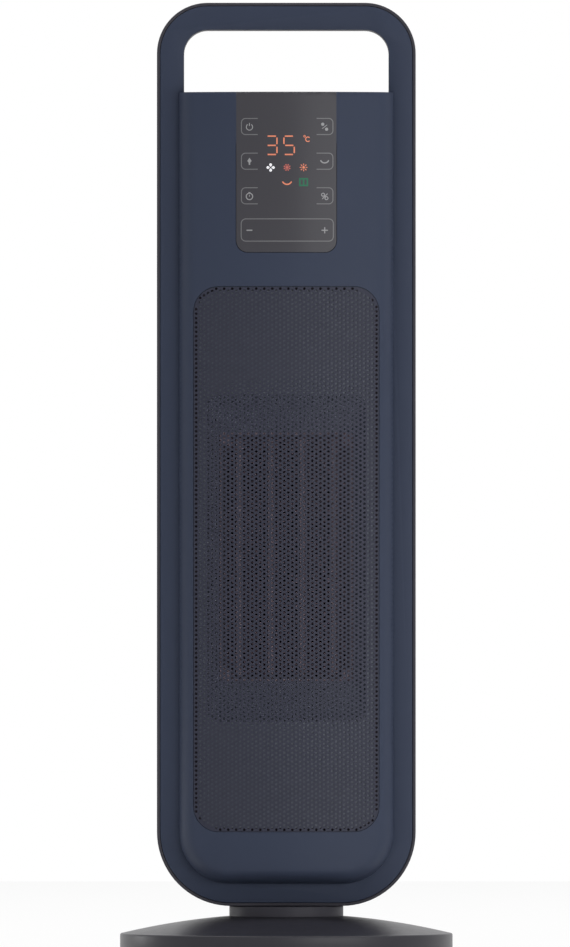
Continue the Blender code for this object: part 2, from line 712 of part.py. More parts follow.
def make_element():
    """Heating element: a frame, upright heater bars, and a folded fin strip in each space between them."""
    outer = rounded(ELEMENT_HALF_WIDTH, ELEMENT_FOOT, ELEMENT_TOP, ELEMENT_RADIUS, ELEMENT_RADIUS)
    frame = place("ptc_frame", prism([outer], ELEMENT_FRONT, ELEMENT_BACK), BLACK_PLASTIC, smooth=False)
    clear_half_width = ELEMENT_HALF_WIDTH - ELEMENT_WALL
    low, high = ELEMENT_FOOT + ELEMENT_WALL, ELEMENT_TOP - ELEMENT_WALL
    hole = prism([box(clear_half_width, low, high)], ELEMENT_FRONT - OVERRUN, ELEMENT_BACK + OVERRUN)
    combine(frame, cutter(hole))
    near, far = ELEMENT_FRONT + FIN_INSET, ELEMENT_BACK - FIN_INSET
    bar_places = [(index - (BAR_COUNT - 1) / 2) * BAR_PITCH for index in range(BAR_COUNT)]
    for index, across in enumerate(bar_places):
        name = f"ptc_bar_{index + 1}"
        bar_between(name, CERAMIC, BAR_WIDTH / 2, near, far, low + GAP, high - GAP, (across, 0, 0))
    edges = [-clear_half_width] + bar_places + [clear_half_width]
    for index, (left, right) in enumerate(zip(edges, edges[1:])):
        left_end = left + GAP + (BAR_WIDTH / 2 if index else 0)
        right_end = right - GAP - (BAR_WIDTH / 2 if index < BAR_COUNT else 0)
        outline = fin_outline(left_end, right_end, low + GAP, high - GAP)
        place(f"fin_strip_{index + 1}", prism([outline], near, far), ALUMINIUM, smooth=False)


def fin_outline(left, right, low, high):
    """Outline of a strip folded to and fro between two heater bars, as one thin zigzag band."""
    folds = int((high - low) / FIN_PITCH)
    left_side, right_side = [], []
    for fold in range(folds + 1):
        across = left if fold % 2 else right - FIN_WIDTH
        up = low + (high - low) * fold / folds
        left_side.append((across, up))
        right_side.append((across + FIN_WIDTH, up))
    return right_side + left_side[::-1]


def make_cutout():
    """Thermal cut-out, clipped under the element's frame."""
    high = ELEMENT_FOOT - GAP
    near = (ELEMENT_FRONT + ELEMENT_BACK) / 2
    outline = box(CUTOUT_LENGTH / 2, high - CUTOUT_HEIGHT, high)
    mesh = prism([outline], near, near + CUTOUT_WIDTH)
    place("thermal_cutout", mesh, STEEL, smooth=False)


def arc(radius_start, radius_end, start, span, steps):
    """Points of an arc or spiral round the fan's axis."""
    points = []
    for step in range(steps + 1):
        share = step / steps
        radius = radius_start + (radius_end - radius_start) * share
        angle = start + span * share
        points.append((radius * math.cos(angle), radius * math.sin(angle)))
    return points


def make_scroll():
    """Scroll housing: a spiral wall and a tongue between two end plates that span the rear frame."""
    low, high = WHEEL_FOOT - END_GAP, WHEEL_TOP + END_GAP
    front = ELEMENT_BACK + GAP - FAN_Y
    inner = WHEEL_RADIUS + SCROLL_GAP
    outer = inner + SCROLL_WALL
    spiral = arc(inner, inner + SCROLL_GROWTH, SCROLL_START, SCROLL_SPAN, SMALL_STEPS)
    spiral_back = arc(outer + SCROLL_GROWTH, outer, SCROLL_START + SCROLL_SPAN, -SCROLL_SPAN, SMALL_STEPS)
    edge, lip = ELEMENT_HALF_WIDTH, ELEMENT_HALF_WIDTH - SCROLL_WALL
    left = spiral + [(-lip, front), (-edge, front)] + spiral_back
    near = WHEEL_RADIUS + TONGUE_GAP
    tongue_face = arc(near, near, TONGUE_START, TONGUE_SPAN, CORNER_STEPS)
    behind = near + SCROLL_WALL
    tongue_back = arc(behind, behind, TONGUE_START + TONGUE_SPAN, -TONGUE_BACK_SPAN, CORNER_STEPS)
    right = [(lip, front)] + tongue_face + tongue_back + [(edge, front)]
    walls = prism([left, right], low - SINK, high + SINK, "Z")
    half_width = WELL_HALF_WIDTH - GAP
    shoulder = SCROLL_SHOULDER - FAN_Y
    plate = [
        (-half_width, front),
        (half_width, front),
        (half_width, shoulder - GAP),
        (SCROLL_BACK_HALF_WIDTH, SCROLL_BACK),
        (-SCROLL_BACK_HALF_WIDTH, SCROLL_BACK),
        (-half_width, shoulder - GAP),
    ]
    piece = place("fan_scroll", prism([plate], low - SCROLL_WALL, low, "Z"), BLACK_PLASTIC, (0, FAN_Y, 0))
    top = place("cutter", prism([plate], high, high + SCROLL_WALL, "Z"), BLACK_PLASTIC, (0, FAN_Y, 0))
    side_walls = place("cutter", walls, BLACK_PLASTIC, (0, FAN_Y, 0))
    combine(side_walls, top, "UNION")
    combine(piece, side_walls, "UNION")
    bore = circle(SHAFT_RADIUS + SHAFT_CLEARANCE, SMALL_STEPS)
    hole = place("cutter", prism([bore], low - OVERRUN, high + OVERRUN, "Z"), BLACK_PLASTIC, (0, FAN_Y, 0))
    combine(piece, hole)


def blade_outline(turn):
    """One curved blade of the cross-flow wheel, seen along the axis."""
    points = []
    for side in (-1, 1):
        edge = []
        for share in (0, 0.5, 1):
            radius = WHEEL_BORE + (WHEEL_RADIUS - WHEEL_BORE - SINK / 2) * share
            angle = turn + BLADE_SWEEP * share * share + side * BLADE_THICKNESS / (2 * radius)
            edge.append((radius * math.cos(angle), radius * math.sin(angle)))
        points += edge if side < 0 else edge[::-1]
    return points


def make_fan():
    """Cross-flow wheel: curved blades between three discs, on a steel shaft."""
    blades = [blade_outline(math.tau * blade / BLADE_COUNT) for blade in range(BLADE_COUNT)]
    blade_ends = (WHEEL_FOOT + DISC_THICKNESS / 2, WHEEL_TOP - DISC_THICKNESS / 2)
    wheel = place("fan_wheel", prism(blades, *blade_ends, "Z"), BLACK_PLASTIC, (0, FAN_Y, 0))
    middle = (WHEEL_FOOT + WHEEL_TOP - DISC_THICKNESS) / 2
    for foot in (WHEEL_FOOT, middle, WHEEL_TOP - DISC_THICKNESS):
        disc = prism([circle(WHEEL_RADIUS, ROUND_STEPS)], foot, foot + DISC_THICKNESS, "Z")
        combine(wheel, place("cutter", disc, BLACK_PLASTIC, (0, FAN_Y, 0)), "UNION")
    bore = prism([circle(SHAFT_RADIUS + GAP, SMALL_STEPS)], WHEEL_FOOT - OVERRUN, WHEEL_TOP + OVERRUN, "Z")
    combine(wheel, place("cutter", bore, BLACK_PLASTIC, (0, FAN_Y, 0)))
    low = motor_top() - MOTOR_HEIGHT + GAP
    high = WHEEL_TOP + END_GAP + SCROLL_WALL + BEARING_HEIGHT
    shaft = prism([circle(SHAFT_RADIUS, SMALL_STEPS)], low, high, "Z")
    place("fan_shaft", shaft, STEEL, (0, FAN_Y, 0))
    seat = WHEEL_TOP + END_GAP + SCROLL_WALL + GAP
    bearing = [
        (SHAFT_RADIUS + GAP, seat),
        (BEARING_RADIUS, seat),
        (BEARING_RADIUS, seat + BEARING_HEIGHT / 2),
        (BEARING_RADIUS - POST_WALL, seat + BEARING_HEIGHT),
        (SHAFT_RADIUS + GAP, seat + BEARING_HEIGHT),
    ]
    place("upper_bearing", turned(bearing, ROUND_STEPS), STEEL, (0, FAN_Y, 0))


def motor_top():
    """Height of the fan motor's upper face, under the scroll's lower plate."""
    return WHEEL_FOOT - END_GAP - SCROLL_WALL - GAP


def make_motor():
    """Fan motor: a can, its end cap, the stator and the magnet rotor on the fan's shaft."""
    top = motor_top()
    foot = top - MOTOR_HEIGHT
    at = (0, FAN_Y, 0)
    bore = SHAFT_RADIUS + SHAFT_CLEARANCE
    inner = MOTOR_RADIUS - MOTOR_WALL
    can = [(bore, top), (MOTOR_RADIUS, top), (MOTOR_RADIUS, foot), (inner, foot), (inner, top - MOTOR_WALL)]
    can.append((bore, top - MOTOR_WALL))
    place("motor_can", turned(can, ROUND_STEPS), STEEL, at)
    cap = [(0, foot - GAP), (MOTOR_RADIUS, foot - GAP), (MOTOR_RADIUS, foot - GAP - CAP_THICKNESS)]
    cap.append((0, foot - GAP - CAP_THICKNESS))
    place("motor_end_cap", turned(cap, ROUND_STEPS), STEEL, at)
    stator_outer = inner - GAP
    stator_inner = stator_outer - STATOR_THICKNESS
    low, high = foot + STATOR_INSET, top - MOTOR_WALL - STATOR_INSET
    stator = [(stator_inner, low), (stator_outer, low), (stator_outer, high), (stator_inner, high)]
    place("motor_stator", turned(stator, ROUND_STEPS), COPPER, at)
    magnet_radius = stator_inner - AIR_GAP
    bore = SHAFT_RADIUS + GAP
    magnet = [(bore, low), (magnet_radius, low), (magnet_radius, high), (bore, high)]
    place("motor_rotor", turned(magnet, ROUND_STEPS), STEEL, at)


def make_electronics():
    """Power board with its relays, on a tray that spans the rear frame above the fan."""
    half_width = WELL_HALF_WIDTH - GAP
    low, high = TRAY_FOOT, TRAY_FOOT + TRAY_HEIGHT
    tray = place(
        "electronics_tray",
        prism([box(half_width, low, high)], TRAY_Y, TRAY_Y + TRAY_THICKNESS),
        BLACK_PLASTIC,
    )
    for side in (-1, 1):
        edge, inner = side * half_width, side * (half_width - TRAY_THICKNESS)
        flange = [(edge, low), (inner, low), (inner, high), (edge, high)]
        combine(tray, cutter(prism([flange], TRAY_Y, TRAY_Y + TRAY_FLANGE)), "UNION")
    face = TRAY_Y - GAP
    board_half_width = half_width - BOARD_MARGIN
    board = prism(
        [box(board_half_width, low + BOARD_MARGIN, high - BOARD_MARGIN)], face - BOARD_THICKNESS, face
    )
    piece = place("power_board", board, BOARD_GREEN, smooth=False)
    middle = low + TRAY_HEIGHT / 2
    for across in (-board_half_width / 2, 0, board_half_width / 2):
        relay = [
            (x + across, z + middle) for x, z in box(RELAY_WIDTH / 2, -RELAY_LENGTH / 2, RELAY_LENGTH / 2)
        ]
        front = face - BOARD_THICKNESS
        combine(piece, cutter(prism([relay], front - RELAY_HEIGHT, front + BOARD_THICKNESS / 2)), "UNION")


def make_rear_shell():
    """Rear shell with the openings for the intake cover and the switch, and four screw wells."""
    piece = place("rear_shell", shell(1), NAVY)
    ledge = SHELL_WALL + OVERRUN
    recess = plate_levels(INTAKE_HALF_WIDTH, INTAKE_FOOT, INTAKE_TOP, INTAKE_RADIUS, INTAKE_RADIUS, GAP)
    combine(piece, cutter(curved_plate(1, recess, -OVERRUN, INTAKE_THICKNESS + GAP)))
    window = plate_levels(
        INTAKE_HALF_WIDTH, INTAKE_FOOT, INTAKE_TOP, INTAKE_RADIUS, INTAKE_RADIUS, -INTAKE_LEDGE
    )
    combine(piece, cutter(curved_plate(1, window, -OVERRUN, ledge)))
    depth = shell_depth(0, SWITCH_Z)
    reach = SWITCH_HALF_HEIGHT + GAP
    opening = prism(
        [box(SWITCH_HALF_WIDTH + GAP, SWITCH_Z - reach, SWITCH_Z + reach)], depth - ledge, depth + ledge
    )
    combine(piece, cutter(opening))
    for across, up in screw_places():
        radius = SCREW_HEAD_RADIUS + GAP + POST_WALL
        root = shell_depth(across, up, SHELL_WALL) + SINK
        post = prism([circle(radius, SMALL_STEPS, across, up)], GAP, root)
        combine(piece, cutter(post), "UNION")
        well = circle(SCREW_HEAD_RADIUS + GAP, SMALL_STEPS, across, up)
        combine(piece, cutter(prism([well], GAP + POST_FLOOR, root + ledge)))
        bore = circle(SCREW_RADIUS + GAP, SMALL_STEPS, across, up)
        combine(piece, cutter(prism([bore], GAP - OVERRUN, GAP + POST_FLOOR + OVERRUN)))


def make_intake():
    """Pull-off intake cover with its slots, and the dust filter that comes away with it."""
    levels = plate_levels(INTAKE_HALF_WIDTH, INTAKE_FOOT, INTAKE_TOP, INTAKE_RADIUS, INTAKE_RADIUS)
    cover = place("intake_cover", curved_plate(1, levels, 0, INTAKE_THICKNESS), NAVY)
    count = int((INTAKE_HEIGHT - 2 * INTAKE_RADIUS) / SLOT_PITCH)
    slots = []
    for slot in range(count):
        middle = (INTAKE_FOOT + INTAKE_TOP) / 2 + (slot - (count - 1) / 2) * SLOT_PITCH
        half = SLOT_HEIGHT / 2
        slots.append(rounded(SLOT_HALF_WIDTH, middle - half, middle + half, half, half, 1))
    nearest = shell_depth(INTAKE_HALF_WIDTH, INTAKE_TOP) - INTAKE_THICKNESS - OVERRUN
    farthest = shell_depth(0, INTAKE_TOP) + OVERRUN
    combine(cover, cutter(prism(slots, nearest, farthest)))
    filter_levels = plate_levels(INTAKE_HALF_WIDTH, INTAKE_FOOT, INTAKE_TOP, 0, 0, -FILTER_MARGIN)
    near = INTAKE_THICKNESS + GAP
    place("dust_filter", curved_plate(1, filter_levels, near, near + FILTER_THICKNESS), FILTER_MESH)


def make_switch():
    """Mains switch: a flanged pocket in the rear shell and the rocker that tips in it."""
    seat = shell_depth(0, SWITCH_Z) + GAP
    face = seat + SWITCH_FLANGE_THICKNESS
    low, high = SWITCH_Z - SWITCH_HALF_HEIGHT, SWITCH_Z + SWITCH_HALF_HEIGHT
    body = prism(
        [box(SWITCH_HALF_WIDTH, low, high)], face - SWITCH_DEPTH, seat + SWITCH_FLANGE_THICKNESS / 2
    )
    piece = place("switch_body", body, BLACK_PLASTIC, smooth=False)
    flange = box(SWITCH_HALF_WIDTH + SWITCH_FLANGE, low - SWITCH_FLANGE, high + SWITCH_FLANGE)
    combine(piece, cutter(prism([flange], seat, face)), "UNION")
    pocket = box(SWITCH_HALF_WIDTH - SWITCH_WALL, low + SWITCH_WALL, high - SWITCH_WALL)
    combine(piece, cutter(prism([pocket], face - SWITCH_DEPTH + SWITCH_WALL, face + OVERRUN)))
    outline = [(depth * ROCKER_PIVOT, up * ROCKER_HALF_HEIGHT) for depth, up in ROCKER_OUTLINE_SHARES]
    half_width = SWITCH_HALF_WIDTH - SWITCH_WALL - GAP
    rocker = prism([outline], -half_width, half_width, "X")
    pivot = (0, face - ROCKER_PIVOT, SWITCH_Z)
    piece = place("switch_rocker", rocker, BLACK_PLASTIC, pivot, smooth=False)
    piece.rotation_euler.x = -ROCKER_ANGLE


def screw_profile(length, head_height, way):
    """Half outline of a pan-head screw: head's underside at zero, shank towards way, which is 1 or -1."""
    return [
        (0, -way * head_height),
        (SCREW_HEAD_RADIUS * HEAD_FLAT_SHARE, -way * head_height),
        (SCREW_HEAD_RADIUS, -way * head_height / 2),
        (SCREW_HEAD_RADIUS, 0),
        (SCREW_RADIUS, 0),
        (SCREW_RADIUS, way * (length - SCREW_RADIUS)),
        (0, way * length),
    ]


def make_shell_screws():
    """Screws that reach from the wells in the rear shell into the posts of the front shell."""
    for index, (across, up) in enumerate(screw_places()):
        length = SHELL_SCREW_LENGTH + GAP + POST_FLOOR
        mesh = turned(screw_profile(length, SCREW_HEAD_HEIGHT, -1), SMALL_STEPS, "Y")
        place(f"shell_screw_{index + 1}", mesh, STEEL, (across, 2 * GAP + POST_FLOOR, up))


def dome_height(radius, wall=0.0):
    """Height of the base cover's shallow dome at a radius, or of its underside."""
    rise = DOME_TOP - BASE_RIM_TOP
    sphere = (BASE_RADIUS**2 + rise**2) / (2 * rise)
    return DOME_TOP - wall - (sphere - math.sqrt(sphere**2 - radius**2))


def base_screw_places():
    """Where the screws that hold the base together stand, as (x, y)."""
    turns = [math.tau * (index + 0.5) / BASE_SCREW_COUNT for index in range(BASE_SCREW_COUNT)]
    return [(BASE_SCREW_CIRCLE * math.cos(a), BASE_SCREW_CIRCLE * math.sin(a)) for a in turns]


def make_base_cover():
    """Domed base cover with a rim, screw posts, the neck's opening and the cord's opening."""
    opening = NECK_RADIUS + NECK_CLEARANCE
    edge = BASE_RADIUS - RIM_FILLET
    outer = [opening + (edge - opening) * step / CORNER_STEPS for step in range(CORNER_STEPS + 1)]
    inner_edge = BASE_RADIUS - BASE_WALL
    profile = [(radius, dome_height(radius)) for radius in outer]
    profile += [(BASE_RADIUS, dome_height(edge) - RIM_FILLET), (BASE_RADIUS, BASE_RIM_FOOT)]
    profile += [(inner_edge, BASE_RIM_FOOT)]
    inner = [opening + (inner_edge - opening) * step / CORNER_STEPS for step in range(CORNER_STEPS + 1)]
    profile += [(radius, dome_height(radius, BASE_WALL)) for radius in reversed(inner)]
    piece = place("base_cover", turned(profile, FINE_STEPS), CHARCOAL)
    for x, y in base_screw_places():
        post = circle(SCREW_RADIUS + GAP + POST_WALL, SMALL_STEPS, x, y)
        top = dome_height(BASE_SCREW_CIRCLE, BASE_WALL) + SINK
        combine(piece, cutter(prism([post], PLATE_TOP + GAP, top, "Z")), "UNION")
        bore = circle(SCREW_RADIUS + GAP, SMALL_STEPS, x, y)
        hole_top = BASE_RIM_FOOT + BASE_SCREW_LENGTH + GAP
        combine(piece, cutter(prism([bore], PLATE_TOP - OVERRUN, hole_top, "Z")))
    cord_hole = circle(GLAND_RADIUS + GAP, ROUND_STEPS, 0, GLAND_Z)
    hole = prism([cord_hole], BASE_RADIUS - BASE_WALL - OVERRUN, BASE_RADIUS + OVERRUN)
    combine(piece, cutter(hole))


def make_base_plate():
    """Base plate with its bearing hub, the ballast ring, the thrust washer, the feet and the screws."""
    edge = BASE_RADIUS - BASE_WALL - GAP
    profile = [
        (0, BASE_RIM_FOOT),
        (edge, BASE_RIM_FOOT),
        (edge, PLATE_TOP),
        (PLATE_HUB_RADIUS, PLATE_TOP),
        (PLATE_HUB_RADIUS, PLATE_HUB_TOP),
        (PLATE_HUB_BORE, PLATE_HUB_TOP),
        (PLATE_HUB_BORE, PLATE_TOP),
        (0, PLATE_TOP),
    ]
    piece = place("base_plate", turned(profile, FINE_STEPS), BLACK_PLASTIC)
    holes = [circle(SCREW_RADIUS + GAP, SMALL_STEPS, x, y) for x, y in base_screw_places()]
    combine(piece, cutter(prism(holes, BASE_RIM_FOOT - OVERRUN, PLATE_TOP + OVERRUN, "Z")))
    for index, (x, y) in enumerate(base_screw_places()):
        mesh = turned(screw_profile(BASE_SCREW_LENGTH, BASE_SCREW_HEAD, 1), SMALL_STEPS)
        place(f"base_screw_{index + 1}", mesh, STEEL, (x, y, BASE_RIM_FOOT - GAP))
    low = PLATE_TOP + GAP
    ring = [(BALLAST_INNER, low), (BALLAST_OUTER, low)]
    ring += [(BALLAST_OUTER, low + BALLAST_HEIGHT), (BALLAST_INNER, low + BALLAST_HEIGHT)]
    place("ballast_ring", turned(ring, ROUND_STEPS), STEEL)
    inner, outer = PLATE_HUB_BORE + GAP, PLATE_HUB_RADIUS - GAP
    high = WASHER_FOOT + WASHER_THICKNESS
    washer = [(inner, WASHER_FOOT), (outer, WASHER_FOOT), (outer, high), (inner, high)]
    place("thrust_washer", turned(washer, ROUND_STEPS), BLACK_PLASTIC)
    foot = [
        (0, 0),
        (FOOT_RADIUS - FOOT_TOP / 2, 0),
        (FOOT_RADIUS, FOOT_TOP / 2),
        (FOOT_RADIUS, FOOT_TOP),
        (0, FOOT_TOP),
    ]
    for index in range(FOOT_COUNT):
        turn = math.tau * (index + 0.25) / FOOT_COUNT
        at = (FOOT_CIRCLE * math.cos(turn), FOOT_CIRCLE * math.sin(turn), 0)
        place(f"foot_{index + 1}", turned(foot, SMALL_STEPS), RUBBER, at)


def make_base_fittings():
    """Cord gland in the back of the rim, and the tilt switch in front."""
    lip = GLAND_RADIUS + GLAND_LIP
    inner_face = BASE_RADIUS - BASE_WALL - GAP - lip * math.tan(math.pi / FINE_STEPS)
    profile = [
        (GLAND_BORE, inner_face - GLAND_FLANGE),
        (lip, inner_face - GLAND_FLANGE),
        (lip, inner_face),
        (GLAND_RADIUS, inner_face),
        (GLAND_RADIUS, BASE_RADIUS - GAP),
        (GLAND_BORE, BASE_RADIUS - GAP),
    ]
    place("cord_gland", turned(profile, ROUND_STEPS, "Y"), RUBBER, (0, 0, GLAND_Z))
    low = PLATE_TOP + GAP
    block = prism([box(TILT_LENGTH / 2, low, low + TILT_HEIGHT)], -TILT_WIDTH / 2, TILT_WIDTH / 2)
    place("tilt_switch", block, BLACK_PLASTIC, (0, -TILT_CIRCLE, 0), smooth=False)


def involute(angle):
    """The involute of a pressure angle."""
    return math.tan(angle) - angle


def gear_outline(teeth_in_circle, teeth, middle):
    """Outline of a gear, or of a sector with a plain rim beyond its teeth; a tooth points along middle."""
    pitch_radius = GEAR_MODULE * teeth_in_circle / 2
    base_radius = pitch_radius * math.cos(PRESSURE_ANGLE)
    tip_radius = pitch_radius + ADDENDUM_SHARE * GEAR_MODULE
    root_radius = pitch_radius - DEDENDUM_SHARE * GEAR_MODULE
    half_tooth = (math.pi * GEAR_MODULE / 2 - BACKLASH / 2) / (2 * pitch_radius) + involute(PRESSURE_ANGLE)
    start_radius = max(base_radius, root_radius)
    flank = [(root_radius, half_tooth - involute(math.acos(min(1, base_radius / start_radius))))]
    steps = 2
    for step in range(steps + 1):
        radius = start_radius + (tip_radius - start_radius) * step / steps
        flank.append((radius, half_tooth - involute(math.acos(min(1, base_radius / radius)))))
    points = []
    tooth_turn = math.tau / teeth_in_circle
    for tooth in range(teeth):
        centre = middle + (tooth - (teeth - 1) / 2) * tooth_turn
        points += [(radius, centre - angle) for radius, angle in flank]
        points += [(radius, centre + angle) for radius, angle in reversed(flank)]
    if teeth < teeth_in_circle:
        last = points[-1][1]
        rest = math.tau - (last - points[0][1])
        points += [(root_radius, last + rest * step / ROUND_STEPS) for step in range(1, ROUND_STEPS)]
    outline = [(radius * math.cos(angle), radius * math.sin(angle)) for radius, angle in points]
    return [p for p, q in zip(outline, outline[1:] + outline[:1]) if math.dist(p, q) > MERGE]


def make_swivel():
    """Swivel neck under the tower, the sector gear screwed under it, and its three screws."""
    hub = NECK_HUB_RADIUS
    roof = NECK_TOP - NECK_WALL
    profile = [
        (NECK_BORE, NECK_TOP),
        (NECK_RADIUS, NECK_TOP),
        (NECK_RADIUS, NECK_FOOT),
        (NECK_RADIUS - NECK_WALL, NECK_FOOT),
        (NECK_RADIUS - NECK_WALL, roof),
        (hub, roof),
        (hub, NECK_FOOT),
        (NECK_BORE, NECK_FOOT),
    ]
    neck = place("swivel_neck", turned(profile, FINE_STEPS), CHARCOAL)
    gear_points = gear_outline(GEAR_TEETH, SECTOR_TEETH, math.pi / 2)
    gear = place("sector_gear", prism([gear_points], GEAR_FOOT, GEAR_TOP, "Z"), BLACK_PLASTIC, smooth=False)
    bore = prism([circle(GEAR_BORE, ROUND_STEPS)], GEAR_FOOT - OVERRUN, GEAR_TOP + OVERRUN, "Z")
    combine(gear, cutter(bore))
    holes = []
    for index in range(SWIVEL_SCREW_COUNT):
        turn = math.tau * index / SWIVEL_SCREW_COUNT
        x, y = SWIVEL_SCREW_CIRCLE * math.cos(turn), SWIVEL_SCREW_CIRCLE * math.sin(turn)
        holes.append(circle(SCREW_RADIUS + GAP, SMALL_STEPS, x, y))
        mesh = turned(screw_profile(SWIVEL_SCREW_LENGTH, BASE_SCREW_HEAD, 1), SMALL_STEPS)
        place(f"swivel_screw_{index + 1}", mesh, STEEL, (x, y, GEAR_FOOT - GAP))
    combine(gear, cutter(prism(holes, GEAR_FOOT - OVERRUN, GEAR_TOP + OVERRUN, "Z")))
    screw_top = GEAR_FOOT + SWIVEL_SCREW_LENGTH + GAP
    combine(neck, cutter(prism(holes, NECK_FOOT - OVERRUN, screw_top, "Z")))


def make_drive():
    """Flat gear motor in the base, and the pinion whose spindle turns in it."""
    low = PLATE_TOP + GAP
    high = low + DRIVE_MOTOR_HEIGHT
    bore = DRIVE_SHAFT_RADIUS + GAP
    pocket_floor = low + DRIVE_MOTOR_HEIGHT / 2
    body = [
        (0, low),
        (DRIVE_MOTOR_RADIUS, low),
        (DRIVE_MOTOR_RADIUS, high),
        (bore, high),
        (bore, pocket_floor),
        (0, pocket_floor),
    ]
    at = (0, DRIVE_CENTRE, 0)
    place("swivel_motor", turned(body, ROUND_STEPS), STEEL, at)
    half_pitch = math.pi / PINION_TEETH
    points = gear_outline(PINION_TEETH, PINION_TEETH, half_pitch - math.pi / 2)
    pinion = place(
        "drive_pinion", prism([points], GEAR_FOOT, GEAR_TOP, "Z"), BLACK_PLASTIC, at, smooth=False
    )
    spindle = prism([circle(DRIVE_SHAFT_RADIUS, SMALL_STEPS)], pocket_floor + GAP, GEAR_TOP - SINK, "Z")
    combine(pinion, place("cutter", spindle, BLACK_PLASTIC, at), "UNION")


make_base_cover()
make_base_plate()
make_base_fittings()
make_swivel()
make_drive()
make_frames()
make_front_shell()
make_panel()
make_grille()
make_duct()
make_element()
make_cutout()
make_scroll()
make_fan()
make_motor()
make_electronics()
make_rear_shell()
make_intake()
make_switch()
make_shell_screws()
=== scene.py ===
# %% [markdown]
# # A tower fan heater
#
# The heater is a slim upright body held in a flat loop that is also its handle. The loop stands on a
# round base by a swivel neck. In front are a perforated grille and a smoked touch panel, behind are a
# slotted intake cover and the mains switch.
#
# The moving parts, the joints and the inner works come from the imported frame. The pieces that the eye
# rests on are modelled here again with soft edges, true curves and fine holes, inside the same boxes.

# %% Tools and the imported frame
import json
import math

import bpy
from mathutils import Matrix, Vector
from mathutils.geometry import delaunay_2d_cdt

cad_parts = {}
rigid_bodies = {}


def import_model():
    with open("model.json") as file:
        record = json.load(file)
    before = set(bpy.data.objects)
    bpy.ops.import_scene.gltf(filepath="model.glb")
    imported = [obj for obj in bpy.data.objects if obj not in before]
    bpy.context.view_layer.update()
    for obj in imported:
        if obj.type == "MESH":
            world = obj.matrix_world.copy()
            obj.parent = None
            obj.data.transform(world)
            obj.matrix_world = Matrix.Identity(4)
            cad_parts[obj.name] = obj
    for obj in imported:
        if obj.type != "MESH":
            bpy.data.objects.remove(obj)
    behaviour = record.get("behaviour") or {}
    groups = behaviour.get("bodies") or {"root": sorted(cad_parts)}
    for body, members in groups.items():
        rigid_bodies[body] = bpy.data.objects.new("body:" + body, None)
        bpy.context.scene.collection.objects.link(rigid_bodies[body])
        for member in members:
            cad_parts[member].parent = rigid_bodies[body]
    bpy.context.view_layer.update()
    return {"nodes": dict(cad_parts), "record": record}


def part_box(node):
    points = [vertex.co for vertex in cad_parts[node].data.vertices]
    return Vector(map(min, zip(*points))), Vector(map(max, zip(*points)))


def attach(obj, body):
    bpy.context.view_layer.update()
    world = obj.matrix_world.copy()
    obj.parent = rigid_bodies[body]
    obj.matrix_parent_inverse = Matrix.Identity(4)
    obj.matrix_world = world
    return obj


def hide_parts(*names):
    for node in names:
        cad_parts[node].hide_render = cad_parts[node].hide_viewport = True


for leftover in list(bpy.data.objects):
    bpy.data.objects.remove(leftover, do_unlink=True)
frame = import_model()
nodes = frame["nodes"]
FRONT, BACK = -1, 1

# %% [markdown]
# Sizes are in metres and are those of the frame: the heater is 650 mm high, its loop 176 mm wide and
# its base 226 mm across. Small numbers below are fillets, gaps and hole sizes read off the photograph,
# where one millimetre is about one and a half pixels.
#
# The body's bulge is set by five of them: its rim lies at RIM from the middle plane, a straight SKIRT
# and SIDE rise from it, the CROWN arches between its sides, and ROLL is the width of the rolled edge.

# %% Sizes
TOTAL_HEIGHT = 0.650
LOOP_HALF, LOOP_FOOT, LOOP_FACE = 0.088, 0.0358, 0.026
LOOP_TOP_R, LOOP_FOOT_R = 0.0345, 0.0503
EDGE_STRIP, FACE_DEPTH = 0.002, 0.009
HANDLE_HALF, HANDLE_LOW, HANDLE_HIGH, HANDLE_TOP_R = 0.0697, 0.589, 0.6317, 0.0163
WELL_HALF, WELL_LOW, WELL_HIGH, WELL_R = 0.066, 0.0578, 0.577, 0.0279
BODY_HALF, BODY_FOOT, BODY_TOP, BODY_R = 0.0728, 0.051, 0.589, 0.0347
RIM, SKIRT, SIDE, CROWN, ROLL = 0.0263, 0.002, 0.013, 0.019, 0.0098
SEAM, WALL, TOP_FILLET = 0.0003, 0.0028, 0.0008
SEATED = LOOP_FACE + 0.00003  # where the shells' rims meet the loop, a hair off its face
TURN_IN = 0.0003  # the first short step of a wall, which keeps its edge crisp
SHELF_LAP, SHELF_DROP = 0.006, 0.0001
PANEL_HALF, PANEL_LOW, PANEL_R, PANEL_THICK = 0.034, 0.4801, 0.008, 0.0016
GRILLE_HALF, GRILLE_LOW, GRILLE_HIGH, GRILLE_R = 0.0629, 0.0868, 0.4567, 0.017
GRILLE_NET = 0.0027  # between points along the grille's rim
NET_CLEAR = 0.0008  # between the even net of points and an edge or a rolled line
HOLE_R, HOLE_PITCH_X, HOLE_COLUMNS, HOLE_STEPS, HOLE_MARGIN = 0.00092, 0.00272, 46, 239, 0.00135
SHEET_THICK, BACKING_DROP, BACKING_THICK = 0.0006, 0.0010, 0.0016
INTAKE_HALF, INTAKE_LOW, INTAKE_HIGH, INTAKE_R, INTAKE_THICK = 0.050, 0.1650, 0.4050, 0.010, 0.0016


# %% [markdown]
# ## How the pieces are made
#
# Flat and turned pieces start as an outline that is extruded or spun and then bevelled. Plates that
# follow the body's bulge start as a flat sheet cut to its outline, are filled with an even net of
# points, and are then pressed onto the bulge, as sheet metal is pressed over a former.
#
# Operators act on what is selected, so every helper first selects its own piece and nothing else.

# %% Selecting, shading and joining
def activate(piece, mode="EDIT"):
    """Select one piece and go into a mode with it."""
    if bpy.context.object and bpy.context.object.mode != "OBJECT":
        bpy.ops.object.mode_set(mode="OBJECT")
    bpy.ops.object.select_all(action="DESELECT")
    piece.select_set(True)
    bpy.context.view_layer.objects.active = piece
    if mode == "EDIT":
        bpy.ops.object.mode_set(mode="EDIT")
        bpy.ops.mesh.select_all(action="SELECT")


